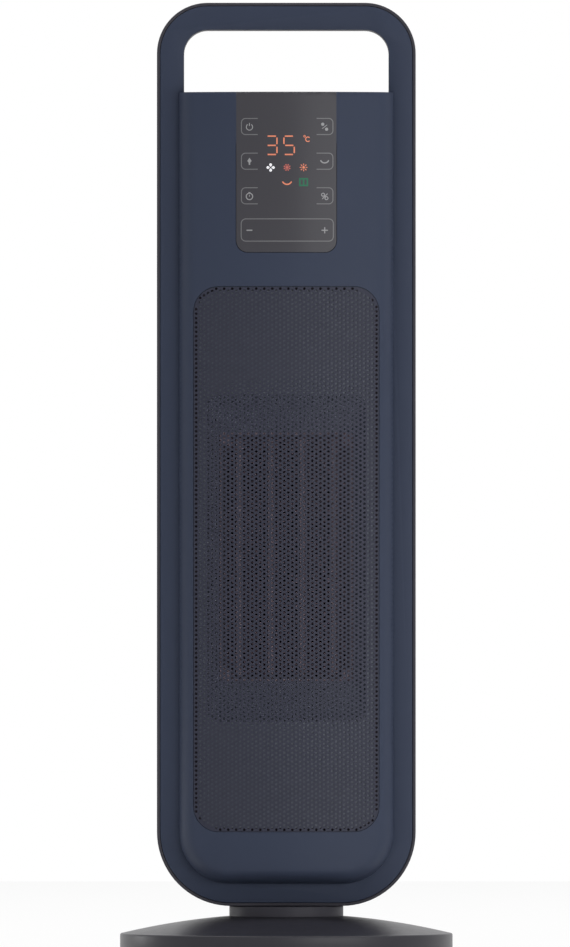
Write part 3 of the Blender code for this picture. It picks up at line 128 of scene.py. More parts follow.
def leave():
    """Back to object mode."""
    bpy.ops.object.mode_set(mode="OBJECT")


def piece_from(name, points, faces, edges=()):
    """A new piece from points and faces."""
    data = bpy.data.meshes.new(name)
    data.from_pydata(points, list(edges), faces)
    piece = bpy.data.objects.new(name, data)
    bpy.context.scene.collection.objects.link(piece)
    return piece


def apply(piece, kind, **settings):
    """Add one modifier, set it and apply it."""
    activate(piece, "OBJECT")
    step = piece.modifiers.new(kind.lower(), kind)
    for name, value in settings.items():
        setattr(step, name, value)
    bpy.ops.object.modifier_apply(modifier=step.name)


def soften(piece, width, segments=2, angle=38):
    """Round the sharp edges, as a mould's edges are rounded."""
    apply(piece, "BEVEL", width=width, segments=segments, limit_method="ANGLE",
          angle_limit=math.radians(angle), harden_normals=False, use_clamp_overlap=True,
          miter_outer="MITER_ARC")
    return smooth(piece)


def smooth(piece, angle=40):
    """Shade the piece smooth up to an angle between faces."""
    activate(piece, "OBJECT")
    bpy.ops.object.shade_smooth_by_angle(angle=math.radians(angle))
    return piece


def tidy_normals(piece):
    """Merge doubles and turn the faces outwards."""
    activate(piece)
    bpy.ops.mesh.remove_doubles(threshold=0.000005)
    bpy.ops.mesh.normals_make_consistent(inside=False)
    leave()
    return piece


def join(piece, other):
    """Make the other piece a part of this one."""
    activate(other, "OBJECT")
    piece.select_set(True)
    bpy.context.view_layer.objects.active = piece
    bpy.ops.object.join()


# %% [markdown]
# Most outlines on the heater are upright plates with round corners. They are worked out as points across
# and up. An open outline gets its corners rounded one by one.

# %% Outlines
def rounded(half, low, high, low_r, high_r, steps=12, middle=0.0):
    """Outline of a plate with round corners, as points (across, up)."""
    points = []
    for side, up, radius, start in ((1, low + low_r, low_r, -90), (1, high - high_r, high_r, 0),
                                    (-1, high - high_r, high_r, 90), (-1, low + low_r, low_r, 180)):
        for step in range(steps + 1 if radius else 1):
            turn = math.radians(start + 90 * step / steps)
            across = middle + side * (half - radius) + radius * math.cos(turn)
            points.append((across, up + radius * math.sin(turn)))
    return points


def circle(radius, steps, across=0.0, up=0.0, start=0.0):
    """Points of a circle round (across, up)."""
    turns = [start + math.tau * step / steps for step in range(steps)]
    return [(across + radius * math.cos(turn), up + radius * math.sin(turn)) for turn in turns]


def fillet(points, radius, steps=3):
    """Round each inner corner of an open outline."""
    shaped = [points[0]]
    for corners in zip(points, points[1:], points[2:]):
        p, c, n = (Vector(point) for point in corners)
        back, on = p - c, n - c
        reach = min(radius, back.length * 0.49, on.length * 0.49)
        start, end = c + back.normalized() * reach, c + on.normalized() * reach
        for step in range(steps + 1):
            t = step / steps
            shaped.append(tuple(start * (1 - t) ** 2 + c * 2 * t * (1 - t) + end * t * t))
    shaped.append(points[-1])
    return shaped


def dense(ring, step, closed=True):
    """The same outline with long stretches divided."""
    points = []
    for (x0, z0), (x1, z1) in zip(ring, ring[1:] + ring[:1] if closed else ring[1:]):
        parts = max(1, math.ceil(math.hypot(x1 - x0, z1 - z0) / step))
        points += [(x0 + (x1 - x0) * part / parts, z0 + (z1 - z0) * part / parts) for part in range(parts)]
    return points if closed else points + [ring[-1]]


def inside(outline, x, z, margin=0.0004):
    """Whether a point lies inside a convex outline, by a margin."""
    count = len(outline)
    for i in range(count):
        (x0, z0), (x1, z1) = outline[i], outline[(i + 1) % count]
        length = math.hypot(x1 - x0, z1 - z0)
        if length and ((x1 - x0) * (z - z0) - (z1 - z0) * (x - x0)) / length < margin:
            return False
    return True


# %% [markdown]
# An outline becomes a solid by extruding it between two planes, or by spinning it round an axis. Other
# solids are then cut out of it.

# %% Solids from outlines
def slab(name, outline, near, far, axis="Y"):
    """An outline extruded between two planes across an axis."""
    place, shift = "XYZ".index(axis), Vector((0, 0, 0))
    shift[place] = far - near
    corners = [(*point[:place], near, *point[place:]) for point in outline]
    piece = piece_from(name, corners, [list(range(len(outline)))])
    activate(piece)
    bpy.ops.mesh.extrude_region_move(TRANSFORM_OT_translate={"value": shift})
    leave()
    return tidy_normals(piece)


def cut(piece, tool):
    """Cut the tool out of the piece, and remove the tool."""
    apply(piece, "BOOLEAN", object=tool, operation="DIFFERENCE", solver="EXACT")
    bpy.data.objects.remove(tool, do_unlink=True)


def spun(name, profile, steps, centre=(0, 0, 0)):
    """A turned piece: an open half outline of (radius, height), spun once round."""
    points = [tuple(Vector((r, 0, h)) + Vector(centre)) for r, h in profile]
    piece = piece_from(name, points, [], [(i, i + 1) for i in range(len(points) - 1)])
    activate(piece)
    bpy.ops.mesh.spin(steps=steps, angle=math.tau, center=centre, axis=(0, 0, 1))
    leave()
    return tidy_normals(piece)


# %% [markdown]
# The body's bulge is a formula: at each place across and up it tells how far the surface stands out. The
# shells, the panel, the grille and the duct's plate all follow it, so they lie flush without fitting.

# %% The body's bulge
def edge_distance(x, z):
    """How far a point of the body's outline lies in from its sides and foot."""
    beyond, below = abs(x) - (BODY_HALF - BODY_R), BODY_FOOT + BODY_R - z
    if beyond > 0 and below > 0:
        return BODY_R - math.hypot(beyond, below)
    return min(BODY_HALF - abs(x), z - BODY_FOOT)


def depth(x, z):
    """How far the body's surface stands from the loop's middle plane."""
    inset = min(max(edge_distance(x, z), 0), ROLL)
    share = math.sqrt(max(0, 1 - (1 - inset / ROLL) ** 2))
    under_top = min(max(BODY_TOP - z, 0), TOP_FILLET) / TOP_FILLET
    top = TOP_FILLET * (1 - math.sqrt(max(0, 1 - (1 - under_top) ** 2)))
    return RIM + SKIRT + share * (SIDE + CROWN * (1 - (x / BODY_HALF) ** 2)) - top * share


# %% [markdown]
# A pressed sheet is made flat first. Its outline, openings and an even net of points are joined into
# triangles, each point is moved out to the bulge, and the open edges are turned in to give it a wall.

# %% Pressed sheets
def pressed(name, side, outer, holes=(), lines=(), step=0.004, drop=0.0, wall=WALL):
    """A sheet cut to an outline with holes, pressed onto the body's bulge, its edges turned in by wall."""
    points, edges, ring_of = [], [], []
    for index, ring in enumerate([outer, *holes]):
        ring = dense(ring, step or GRILLE_NET) if step or not index else ring
        first = len(points)
        points += ring
        ring_of += [index] * len(ring)
        edges += [(first + i, first + (i + 1) % len(ring)) for i in range(len(ring))]
    if step:
        half, low, high = max(x for x, z in outer), min(z for x, z in outer), max(z for x, z in outer)
        columns, rows = round(2 * half / step), round((high - low) / step)
        net = [(-half + 2 * half * i / columns, low + (high - low) * k / rows)
               for i in range(1, columns) for k in range(1, rows)]
        net = [place for place in net
               if inside(outer, *place) and (not lines or edge_distance(*place) > ROLL + NET_CLEAR)]
        for place in net + [place for line in lines for place in line]:
            if not any(inside(hole, *place, -NET_CLEAR) for hole in holes):
                points.append(place)
                ring_of.append(-1)
    flat, _, faces, origin, _, _ = delaunay_2d_cdt([Vector(place) for place in points], edges, [], 0, 1e-7)
    rings = [{ring_of[index] for index in found} - {-1, 0} for found in origin]
    kept = [face for face in faces if not set.intersection(*(rings[v] for v in face))]
    piece = piece_from(name, [(x, side * (depth(x, z) - drop), z) for x, z in flat], kept)
    activate(piece)
    bpy.ops.mesh.select_all(action="DESELECT")
    bpy.ops.mesh.select_mode(type="EDGE")
    bpy.ops.mesh.select_non_manifold(extend=False, use_wire=False, use_boundary=True, use_multi_face=False,
                                     use_non_contiguous=False, use_verts=False)
    for reach in (TURN_IN, wall - TURN_IN) if wall > 2 * TURN_IN else (wall,):
        bpy.ops.mesh.extrude_edges_move(TRANSFORM_OT_translate={"value": (0, -side * reach, 0)})
    leave()
    activate(piece)
    bpy.ops.mesh.normals_make_consistent(inside=False)
    leave()
    return smooth(piece)


# %% [markdown]
# Every finished piece is handed over in the same way: it gets its finish, rides a body of the frame, so
# that it moves with its joint, and takes the place of the plain CAD nodes that it stands for.

# %% Handing a piece over
def finish_piece(piece, body, finish, slot, *replaced):
    """Give a piece its finish and its body, and hide the CAD nodes that it stands for."""
    piece.data.materials.clear()
    piece.data.materials.append(finish)
    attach(piece, body)
    if replaced:
        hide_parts(*replaced)
    triangles = sum(len(face.vertices) - 2 for face in piece.data.polygons)
    print(f"{piece.name}: {triangles} triangles")


# %% [markdown]
# ## Finishes
#
# A finish is a small sum in the shader. The class below lets those sums be written as ordinary Python,
# so a line such as `(grain - 0.5) * 0.1 + 0.45` builds the nodes that work it out.

# %% Shader arithmetic
class Value:
    """One socket of a shader, which can take part in sums."""

    def __init__(self, tree, socket):
        self.tree, self.socket = tree, socket

    def node(self, kind, output=0, attributes=(), **inputs):
        """Any other node of the same tree, with its inputs given by name."""
        made = self.tree.nodes.new(kind)
        for name, value in dict(attributes).items():
            setattr(made, name, value)
        for name, value in inputs.items():
            socket = made.inputs[int(name[1:]) if name[1:].isdigit() else name]
            if isinstance(value, Value):
                self.tree.links.new(value.socket, socket)
            else:
                socket.default_value = value
        return Value(self.tree, made.outputs[output])

    def sum(self, operation, other=0.0):
        """One Math node, with this value first."""
        return self.node("ShaderNodeMath", attributes={"operation": operation}, i0=self, i1=other)

    def __add__(self, other):
        return self.sum("ADD", other)

    def __sub__(self, other):
        return self.sum("SUBTRACT", other)

    def __mul__(self, other):
        return self.sum("MULTIPLY", other)

    def __truediv__(self, other):
        return self.sum("DIVIDE", other)

    def span(self, low, high):
        """The value read on a scale from low to high, held between 0 and 1."""
        return self.node("ShaderNodeMapRange", i0=self, i1=low, i2=high, i3=0.0, i4=1.0)

    def mix(self, first, second):
        """A colour between two, by this value."""
        made = self.tree.nodes.new("ShaderNodeMix")
        made.data_type = "RGBA"
        self.tree.links.new(self.socket, made.inputs[0])
        for index, colour in ((6, first), (7, second)):
            made.inputs[index].default_value = (*colour, 1)
        return Value(self.tree, made.outputs[2])


# %% [markdown]
# Moulded plastic, paint and bare metal differ in colour, gloss and grain, but are built alike: one noise
# for the grain, which is both relief and tone, a broad one for the tone, and one for smears in the gloss.

# %% Surfaces
def new_finish(name):
    """An empty finish: its material, its shader node and the place on the object as a value."""
    material = bpy.data.materials.new(name)
    material.use_nodes = True
    tree = material.node_tree
    shader = tree.nodes["Principled BSDF"]
    place = tree.nodes.new("ShaderNodeTexCoord")
    return material, tree, shader, Value(tree, place.outputs["Object"])


def linear(r, g, b):
    """A colour picked on screen, 0 to 255, as the linear values that a shader takes."""
    return tuple(((c / 255 + 0.055) / 1.055) ** 2.4 if c > 10 else c / 3294.6 for c in (r, g, b))


def noise(place, scale, detail=3.0, stretch=None):
    """Soft random values, about 0.5, at a scale in cycles per metre."""
    if stretch:
        place = place.node("ShaderNodeVectorMath", attributes={"operation": "MULTIPLY"}, i0=place, i1=stretch)
    return place.node("ShaderNodeTexNoise", Vector=place, Scale=scale, Detail=detail)


def textured(name, colour, rough=0.45, grain=2600, height=0.00003, mottle=0.06, metallic=0.0, spread=0.08,
             stretch=None, specular=0.5):
    """A moulded, painted or bare surface: grain in relief, uneven roughness, a slight change of tone."""
    material, tree, shader, place = new_finish(name)
    fine = noise(place, grain, 4.0, stretch=stretch)
    broad = noise(place, 22, 3.0)
    smears = noise(place, 140, 4.0)
    tone = (broad - 0.5) * mottle + 1.0 + (fine - 0.5) * mottle
    dark, light = (tuple(c * share for c in colour) for share in (0.7, 1.3))
    shade = (tone - 0.7) / 0.6
    tree.links.new(shade.mix(dark, light).socket, shader.inputs["Base Color"])
    roughness = (smears - 0.5) * spread + (fine - 0.5) * spread + rough
    tree.links.new(roughness.socket, shader.inputs["Roughness"])
    bump = fine.node("ShaderNodeBump", Height=fine, Distance=height, Strength=1.0)
    tree.links.new(bump.socket, shader.inputs["Normal"])
    shader.inputs["Metallic"].default_value = metallic
    shader.inputs["Specular IOR Level"].default_value = specular
    return material


# %% [markdown]
# The tower is satin-moulded plastic in a greyish navy; the rear frame, the neck and the base are the
# same plastic in charcoal, glossier on the base's dome, whose colour is also darker as painted shade.
# The panel is smoked and glossy. The grille is perforated sheet with a thin satin paint. Inside are
# black plastic, aluminium, steel, ceramic and copper.
#
# The dark plastics have a low specular level, because the white surroundings would wash them out. The
# element's frame and fins are tinted to the tone seen through the grille: the fins, the lip, ribs and
# bosses lighter, as painted light, the frame and the duct's skirt darker, as painted shade. The duct's
# plate and funnel are lightened too, as painted light.

# %% Finishes
NAVY = textured("navy_satin", linear(65, 73, 93), 0.52, specular=0.16)
CHARCOAL = textured("charcoal_satin", linear(71, 70, 78), 0.46, specular=0.18)
# The dome's charcoal is darker than the rest of the charcoal plastic, as painted shade.
DOME_CHARCOAL_PAINTED_SHADE = textured("charcoal_dome_painted_shade", linear(54, 53, 60), 0.36, specular=0.3)
PANEL = textured("panel_gloss", linear(78, 77, 83), 0.30, 900, 0.000002, 0.03, spread=0.03, specular=0.2)
GRILLE = textured("grille_paint", linear(60, 62, 77), 0.5, 3400, 0.00002, specular=0.18)
# The duct's plate and funnel are lighter than their own grey, as painted light.
DUCT_PAINTED_LIGHT = textured("duct_grey_painted_light", linear(108, 114, 126), 0.6, 2200)
FUNNEL_PAINTED_LIGHT = textured("funnel_grey_painted_light", linear(172, 178, 196), 0.6, 2200)
# The element's lip, ribs and bosses are a light grey as painted light; its frame and the duct's skirt a
# darker grey as painted shade.
FRAME_PAINTED_LIGHT = textured("frame_painted_light", linear(194, 172, 182), 0.6, 2200)
FRAME_PAINTED_SHADE = textured("frame_painted_shade", linear(92, 84, 92), 0.6, 2200)
# The fins' aluminium is tinted lighter, as painted light.
FIN_PAINTED_LIGHT = textured("fin_aluminium_painted_light", linear(216, 186, 200), 0.6, 1600, 0.00001, metallic=0.2)
BLACK = textured("black_plastic", linear(34, 34, 38), 0.55, 2200)
ACETAL = textured("gear_plastic", linear(228, 226, 216), 0.4, 1800)
RUBBER = textured("rubber", linear(30, 30, 31), 0.82, 3000, 0.00005)
CERAMIC = textured("heater_ceramic", linear(128, 118, 120), 0.7, 2600, 0.00004, 0.15)
ALUMINIUM = textured("aluminium", linear(214, 206, 204), 0.42, 1600, 0.00001, metallic=1.0,
                     stretch=(1, 1, 0.08))
STEEL = textured("steel", linear(190, 191, 193), 0.3, 1800, 0.00001, metallic=1.0)
IRON = textured("cast_iron", linear(92, 92, 95), 0.62, 1300, 0.0001, 0.2, metallic=0.8)
COPPER = textured("copper_winding", linear(190, 120, 84), 0.35, 2400, 0.00004, metallic=0.9,
                  stretch=(0.1, 0.1, 1))
BOARD = textured("circuit_board", linear(34, 86, 52), 0.4, 900, 0.00002, 0.2)
FILTER = textured("filter_mesh", linear(70, 70, 74), 0.8, 3000, 0.00005)

# %% [markdown]
# The CAD nodes that stay visible, such as the fan, the motor and the boards, take the finish of their
# material slot. The element's frame has its own, a grey darker than its lip and ribs, as painted shade,
# in the tone that shows through the grille.

# %% Finishes of the frame's own nodes
SLOT_FINISHES = {
    "charcoal_plastic": CHARCOAL, "navy_plastic": NAVY, "panel_gloss": PANEL, "grille_paint": GRILLE,
    "black_plastic": BLACK, "gear_plastic": ACETAL, "rubber": RUBBER, "heater_ceramic": CERAMIC,
    "aluminium": ALUMINIUM, "steel": STEEL, "cast_iron": IRON, "copper_winding": COPPER,
    "circuit_board": BOARD, "filter_mesh": FILTER,
}
OWN_FINISHES = {"ptc_frame": FRAME_PAINTED_SHADE}
for entry in frame["record"]["subparts"]:
    for skin in nodes[entry["node"]].material_slots:
        skin.material = OWN_FINISHES.get(entry["node"], SLOT_FINISHES[entry["material_slot"]])
print("finishes:", len(SLOT_FINISHES))


# %% [markdown]
# ## The loop
#
# The loop is two mouldings clamped face to face: a charcoal rear frame, whose edge shows as a thin line
# all round, and a navy front frame that lies in its rebate. Each is an outline extruded and cut out for
# the hand and the body, then all its edges are rounded.

# %% The loop
def loop_outline(inset):
    """Outline of the loop, drawn in by a distance."""
    return rounded(LOOP_HALF - inset, LOOP_FOOT + inset, TOTAL_HEIGHT - inset, LOOP_FOOT_R - inset,
                   LOOP_TOP_R - inset, 20)


def loop_cuts(piece):
    """Open the handle and the well in which the body sits."""
    handle = rounded(HANDLE_HALF, HANDLE_LOW, HANDLE_HIGH, 0.001, HANDLE_TOP_R, 16)
    well = rounded(WELL_HALF, WELL_LOW, WELL_HIGH, WELL_R, 0.001, 16)
    for opening in (handle, well):
        cut(piece, slab("opening", opening, -0.06, 0.06))


rear = slab("loop_rear", loop_outline(0), -LOOP_FACE + SEAM, LOOP_FACE)
cut(rear, slab("rebate", loop_outline(EDGE_STRIP), -LOOP_FACE - 0.01, -LOOP_FACE + FACE_DEPTH + SEAM))
loop_cuts(rear)
CABLE_WAY_R = 0.010
cut(rear, slab("cable_way", circle(CABLE_WAY_R, 48), 0.030, 0.062, "Z"))
finish_piece(soften(rear, 0.0004), "tower", CHARCOAL, "charcoal_plastic", "rear_frame")
front = slab("loop_front", loop_outline(EDGE_STRIP + SEAM), -LOOP_FACE, -LOOP_FACE + FACE_DEPTH)
loop_cuts(front)
finish_piece(soften(front, 0.0004), "tower", NAVY, "navy_plastic", "front_frame")

# %% [markdown]
# ## The body's shells
#
# Each shell is one moulding that bulges out of the loop and rolls off at its sides and foot. The front
# one has openings for the panel and the grille, the rear one for the intake cover and the switch. The
# rolled edge is followed by closely spaced lines of points, so that it catches the light as one curve.

# %% Lines along the roll
body_outline = rounded(BODY_HALF, BODY_FOOT, BODY_TOP, BODY_R, 0, 24)
SIDE_POINTS, TOP_POINTS, BEND_STEPS = 125, 72, 24
straight = BODY_TOP - BODY_FOOT - BODY_R
roll_lines = []
for share in (0.004, 0.02, 0.05, 0.1, 0.17, 0.26, 0.37, 0.5, 0.65, 0.82, 1.0):
    inset = ROLL * share
    line = rounded(BODY_HALF - inset, BODY_FOOT + inset, BODY_TOP, BODY_R - inset, 0, BEND_STEPS)
    foot = dense(line[BEND_STEPS + 3:] + line[:BEND_STEPS + 1], 0.004, False)
    roll_lines.append(foot + [(side * (BODY_HALF - inset), BODY_FOOT + BODY_R + straight * k / SIDE_POINTS)
                              for side in (-1, 1) for k in range(1, SIDE_POINTS)])
top_rows = [[(-BODY_HALF + 2 * BODY_HALF * step / TOP_POINTS, BODY_TOP - TOP_FILLET * share)
             for step in range(1, TOP_POINTS)] for share in (0.02, 0.12, 0.3, 0.6, 1.0)]
roll_lines += top_rows
print("lines along the roll:", len(roll_lines))

# %% [markdown]
# A shell is the pressed skin with its outer wall drawn down to the loop. The front shell also needs a
# strip across its flat top behind the panel, where the panel's opening would leave a hole.

# %% Front shell
def grille_line(inset=0.0):
    """The grille's outline, drawn in by a distance."""
    radius = GRILLE_R - inset
    return rounded(GRILLE_HALF - inset, GRILLE_LOW + inset, GRILLE_HIGH - inset, radius, radius)


def shell(name, side, holes):
    """The pressed skin, its outer wall drawn down to the loop's face."""
    piece = pressed(name, side, body_outline, holes, roll_lines)
    for corner in piece.data.vertices:
        x, y, z = corner.co
        on_top = z > BODY_TOP - 0.000001
        in_notch = on_top and abs(x) < PANEL_HALF + 2 * SEAM and side == FRONT
        on_edge = (on_top or edge_distance(x, z) < 0.00001) and not in_notch
        if on_edge and abs(abs(y) - depth(x, z)) > WALL / 2:
            corner.co.y = side * SEATED
    return piece


panel_hole = rounded(PANEL_HALF + SEAM, PANEL_LOW - SEAM, BODY_TOP, PANEL_R, 0)
front_shell = shell("shell_front", FRONT, [panel_hole, grille_line(-SEAM)])
SHELF_STEPS = 24
strip = []
for step in range(SHELF_STEPS + 1):
    x = (PANEL_HALF + SHELF_LAP) * (step / (SHELF_STEPS / 2) - 1)
    strip += [(x, y, BODY_TOP - SHELF_DROP) for y in (-SEATED, -depth(x, BODY_TOP) + PANEL_THICK + SEAM)]
shelf = piece_from("shelf", strip, [(2 * k, 2 * k + 1, 2 * k + 3, 2 * k + 2) for k in range(SHELF_STEPS)])
join(front_shell, shelf)
finish_piece(smooth(front_shell), "tower", NAVY, "navy_plastic", "front_shell")

# %% [markdown]
# ## The grille
#
# The grille is one sheet with some five and a half thousand round holes in forty-six staggered columns.
# A real one is punched flat and then curved. Here too the holes are set out flat, and the sheet is then
# pressed onto the bulge, so every hole keeps its true pitch as seen from the front.

# %% The grille
half_pitch = (GRILLE_HIGH - GRILLE_LOW - 2 * HOLE_MARGIN) / HOLE_STEPS
grille_outline = grille_line()
punched = []
for column in range(HOLE_COLUMNS):
    x = (column - (HOLE_COLUMNS - 1) / 2) * HOLE_PITCH_X
    for level in range(column % 2, HOLE_STEPS + 1, 2):
        z = GRILLE_LOW + HOLE_MARGIN + level * half_pitch
        if inside(grille_outline, x, z, HOLE_R + 0.0003):
            punched.append(circle(HOLE_R, 8, x, z, math.pi / 8))
grille = pressed("grille", FRONT, grille_outline, punched, step=0, wall=SHEET_THICK)
print("holes:", len(punched))
finish_piece(grille, "tower", GRILLE, "grille_paint", "front_grille")

# %% [markdown]
# ## The touch panel
#
# The panel is one smoked sheet, flush with the shell and open to the body's flat top. Its fields don't
# move: they are printed on the back of the sheet, and the display shines through it.

# %% The panel
panel_outline = rounded(PANEL_HALF, PANEL_LOW, BODY_TOP, PANEL_R, 0)
top_lines = [[(x, z) for x, z in row if abs(x) < PANEL_HALF] for row in top_rows]
panel = pressed("panel", FRONT, panel_outline, (), top_lines, 0.003, wall=PANEL_THICK)
finish_piece(panel, "tower", PANEL, "panel_gloss", "control_panel")

# %% [markdown]
# The symbols are drawn on a fine grid laid over the panel, 0.0729 mm to a step, as the photograph shows
# them: thin grey fields at both sides, the set temperature in seven-segment digits, and small lamps for
# fan, low heat, high heat, swing and open window.

# %% Drawing on the panel
GRID, GRID_LEFT, GRID_TOP = 0.0000729, -0.0369, 0.5920
PRINT_LIFT = 0.00004


class Drawing:
    """Flat strokes and dots on the panel's grid, laid on the panel's bulge as one thin piece."""

    def __init__(self):
        self.points, self.faces = [], []

    def stroke(self, line, width=9, closed=False):
        """A line of even width through points of the grid, in short steps that can follow the bulge."""
        line = dense([tuple(point) for point in line], 24, closed)
        count = len(line)
        first = len(self.points)
        for index in range(count):
            here = Vector(line[index])
            before = Vector(line[index - 1]) if closed or index else here
            after = Vector(line[(index + 1) % count]) if closed or index < count - 1 else here
            arrive, go = (here - before), (after - here)
            arrive = arrive.normalized() if arrive.length else go.normalized()
            go = go.normalized() if go.length else arrive
            way = (arrive + go).normalized()
            across = Vector((-way.y, way.x)) * width / 2 / max(0.4, way.dot(go))
            self.points += [tuple(here + across), tuple(here - across)]
        for index in range(count if closed else count - 1):
            a, b = first + 2 * index, first + 2 * ((index + 1) % count)
            self.faces.append((a, a + 1, b + 1, b))

    def shape(self, outline):
        """A filled outline."""
        first = len(self.points)
        self.points += outline
        self.faces.append(tuple(range(first, first + len(outline))))

    def dot(self, x, y, radius):
        """A filled circle."""
        self.shape(circle(radius, 20, x, y))

    def ring(self, x, y, radius, width=9, start=0.0, turn=360.0):
        """A circle or a part of one."""
        steps = max(6, round(turn / 12))
        whole = turn >= 360
        turns = [math.radians(start + turn * step / steps) for step in range(steps if whole else steps + 1)]
        self.stroke([(x + radius * math.cos(t), y + radius * math.sin(t)) for t in turns], width, whole)

    def lay(self, name, finish):
        """The drawing as a piece on the panel."""
        corners = [(GRID_LEFT + x * GRID, GRID_TOP - y * GRID) for x, y in self.points]
        piece = piece_from(name, [(x, -depth(x, z) - PRINT_LIFT, z) for x, z in corners], self.faces)
        activate(piece)
        bpy.ops.mesh.quads_convert_to_tris()
        bpy.ops.mesh.normals_make_consistent(inside=False)
        leave()
        if sum(face.normal.y * face.area for face in piece.data.polygons) > 0:
            piece.data.flip_normals()
        finish_piece(piece, "tower", finish, "panel_gloss")


# %% [markdown]
# Ink and lamps share one finish. Grey ink only reflects; a lamp also glows a little, so that it reads as
# lit without lighting the panel round it.

# %% Inks and lamps
def printed(name, colour, glow=0.0, rough=0.45):
    """Ink behind the panel, or a lamp that shines through it."""
    material, tree, shader, place = new_finish(name)
    speck = noise(place, 3000, 3.0)
    deep, dim, pale = (tuple(c * share for c in colour) for share in (0.8, 0.85, 1.2))
    tree.links.new(((speck - 0.5) * 0.6 + 0.5).mix(deep, pale).socket, shader.inputs["Base Color"])
    if glow:
        tree.links.new(((speck - 0.5) * 0.5 + 0.5).mix(dim, colour).socket, shader.inputs["Emission Color"])
        shader.inputs["Emission Strength"].default_value = glow
    tree.links.new(((speck - 0.5) * 0.1 + rough).socket, shader.inputs["Roughness"])
    return material


INK = printed("symbol_grey", linear(132, 132, 135))
PALE_INK = printed("symbol_pale", linear(176, 176, 179))
ORANGE = printed("lamp_orange", linear(206, 122, 92), 0.62)
RED = printed("lamp_red", linear(168, 88, 80), 0.6)
WHITE = printed("lamp_white", linear(222, 222, 226), 0.7)
GREEN = printed("lamp_green", linear(8, 92, 64), 0.55)

# %% [markdown]
# Three fields open towards the middle at each side, and one closed bar lies below for less and more. The
# signs in them are plain: power, timer, arrow, swing and shares.

# %% Fields and signs
fields = Drawing()
BEND = 38
for middle in (365, 688, 1010):
    for edge, inner, way in ((88, 240, 1), (940, 788, -1)):
        corner = [(edge + way * (BEND - BEND * math.cos(t)), 37 + BEND * math.sin(t))
                  for t in (math.radians(90 * k / 6) for k in range(7))]
        lower = [(x, middle + y) for x, y in corner] + [(inner, middle + 75)]
        upper = [(x, 2 * middle - y) for x, y in lower]
        fields.stroke(upper[::-1] + lower, 8)
fields.stroke(rounded(429, 1225, 1432, 42, 42, 6, 515), 8, True)
fields.lay("symbol_fields", INK)
signs = Drawing()
signs.shape([(163, 655), (183, 686), (170, 702), (170, 722), (156, 722), (156, 702), (143, 686)])
for *line, width in (((136, 1331), (190, 1331), 11), ((834, 1331), (893, 1331), 10),
                     ((863.5, 1302), (863.5, 1360), 10), ((163, 332), (163, 360), 8),
                     ((163, 976), (163, 988), 18), ((163, 1018), (163, 1000), 6),
                     ((840, 385), (886, 350), 6), ((840, 1040), (890, 990), 8)):
    signs.stroke(line, width)
for place in ((163, 370, 29, 8, -55, 290), (163, 1016, 30, 9), (863, 662, 42, 11, 25, 130),
              (848, 1000, 14, 8), (880, 1032, 14, 8)):
    signs.ring(*place)
for x, y in ((845, 344), (881, 390)):
    signs.dot(x, y, 15)
signs.lay("symbol_signs", PALE_INK)

# %% [markdown]
# Each digit is a few straight bars, as in any seven-segment display. The lamps below show heat as a dot
# with rays, the fan as four blades and the open window as a frame.

# %% Digits and lamps
BARS = (((332, 455), (410, 455)), ((419, 468), (419, 530)), ((332, 541), (408, 541)),
        ((419, 554), (419, 613)), ((332, 626), (410, 626)), ((492, 455), (568, 455)),
        ((484, 468), (484, 528)), ((496, 541), (572, 541)), ((580, 554), (580, 613)),
        ((492, 626), (568, 626)))


def rays(drawing, centre, core, first, near, far, width):
    """A dot with eight rays round it, the first ray turned by a share of one step."""
    drawing.dot(*centre, core)
    for ray in range(8):
        t = math.tau * (ray + first) / 8
        way = Vector((math.cos(t), math.sin(t)))
        drawing.stroke([Vector(centre) + way * near, Vector(centre) + way * far], width)


orange = Drawing()
for line in BARS:
    orange.stroke(line, 13)
orange.ring(676, 456, 8, 6)
orange.ring(707, 484, 21, 9, 40, 280)
rays(orange, (667, 746), 12, 0, 19, 36, 8)
orange.ring(513, 858, 46, 12, 25, 130)
orange.lay("lamp_digits", ORANGE)
red = Drawing()
rays(red, (513, 746), 14, 0.5, 18, 33, 11)
red.lay("lamp_low_heat", RED)
white = Drawing()
for blade in range(4):
    t = math.radians(90 * blade)
    across, along = Vector((math.cos(t), math.sin(t))), Vector((-math.sin(t), math.cos(t)))
    white.shape([tuple(Vector((360, 747)) + across * a + along * b)
                 for a, b in ((5, 0), (22, -13), (34, -12), (39, 0), (34, 12), (22, 13))])
white.lay("lamp_fan", WHITE)
green = Drawing()
green.stroke([(632, 852), (702, 852), (702, 914), (632, 914)], 14, True)
green.stroke([(667, 852), (667, 914)], 14)
green.lay("lamp_window", GREEN)

# %% [markdown]
# ## The duct behind the grille
#
# A plate lies close behind the grille and follows its bulge, so most holes show plain grey; its grey is
# lighter than its own colour, as painted light. It stops short of the grille's rim, which is why the
# outermost holes are darker, and the narrow skirt that runs from its edge back to the ledge that carries
# it is coloured darker still, as painted shade. Its mouth opens into a funnel, also lightened as painted
# light, that narrows to the heating element. Skirt and funnel are walls between two outlines, so one
# helper draws both.

# %% Plate and funnel
MOUTH_HALF, MOUTH_LOW, MOUTH_HIGH, MOUTH_R = 0.0540, 0.1613, 0.3837, 0.008
PLATE_INSET, SKIRT_DEPTH = 0.0026, 0.0022
element_low, element_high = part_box("ptc_frame")
mouth = rounded(MOUTH_HALF, MOUTH_LOW, MOUTH_HIGH, MOUTH_R, MOUTH_R, 8)
throat = rounded(element_high.x, element_low.z, element_high.z, 0.002, 0.002, 8)
plate_outline, flange = grille_line(PLATE_INSET), grille_line(SEAM)
duct = pressed("duct_plate", FRONT, plate_outline, [mouth], (), 0.004, drop=BACKING_DROP, wall=BACKING_THICK)


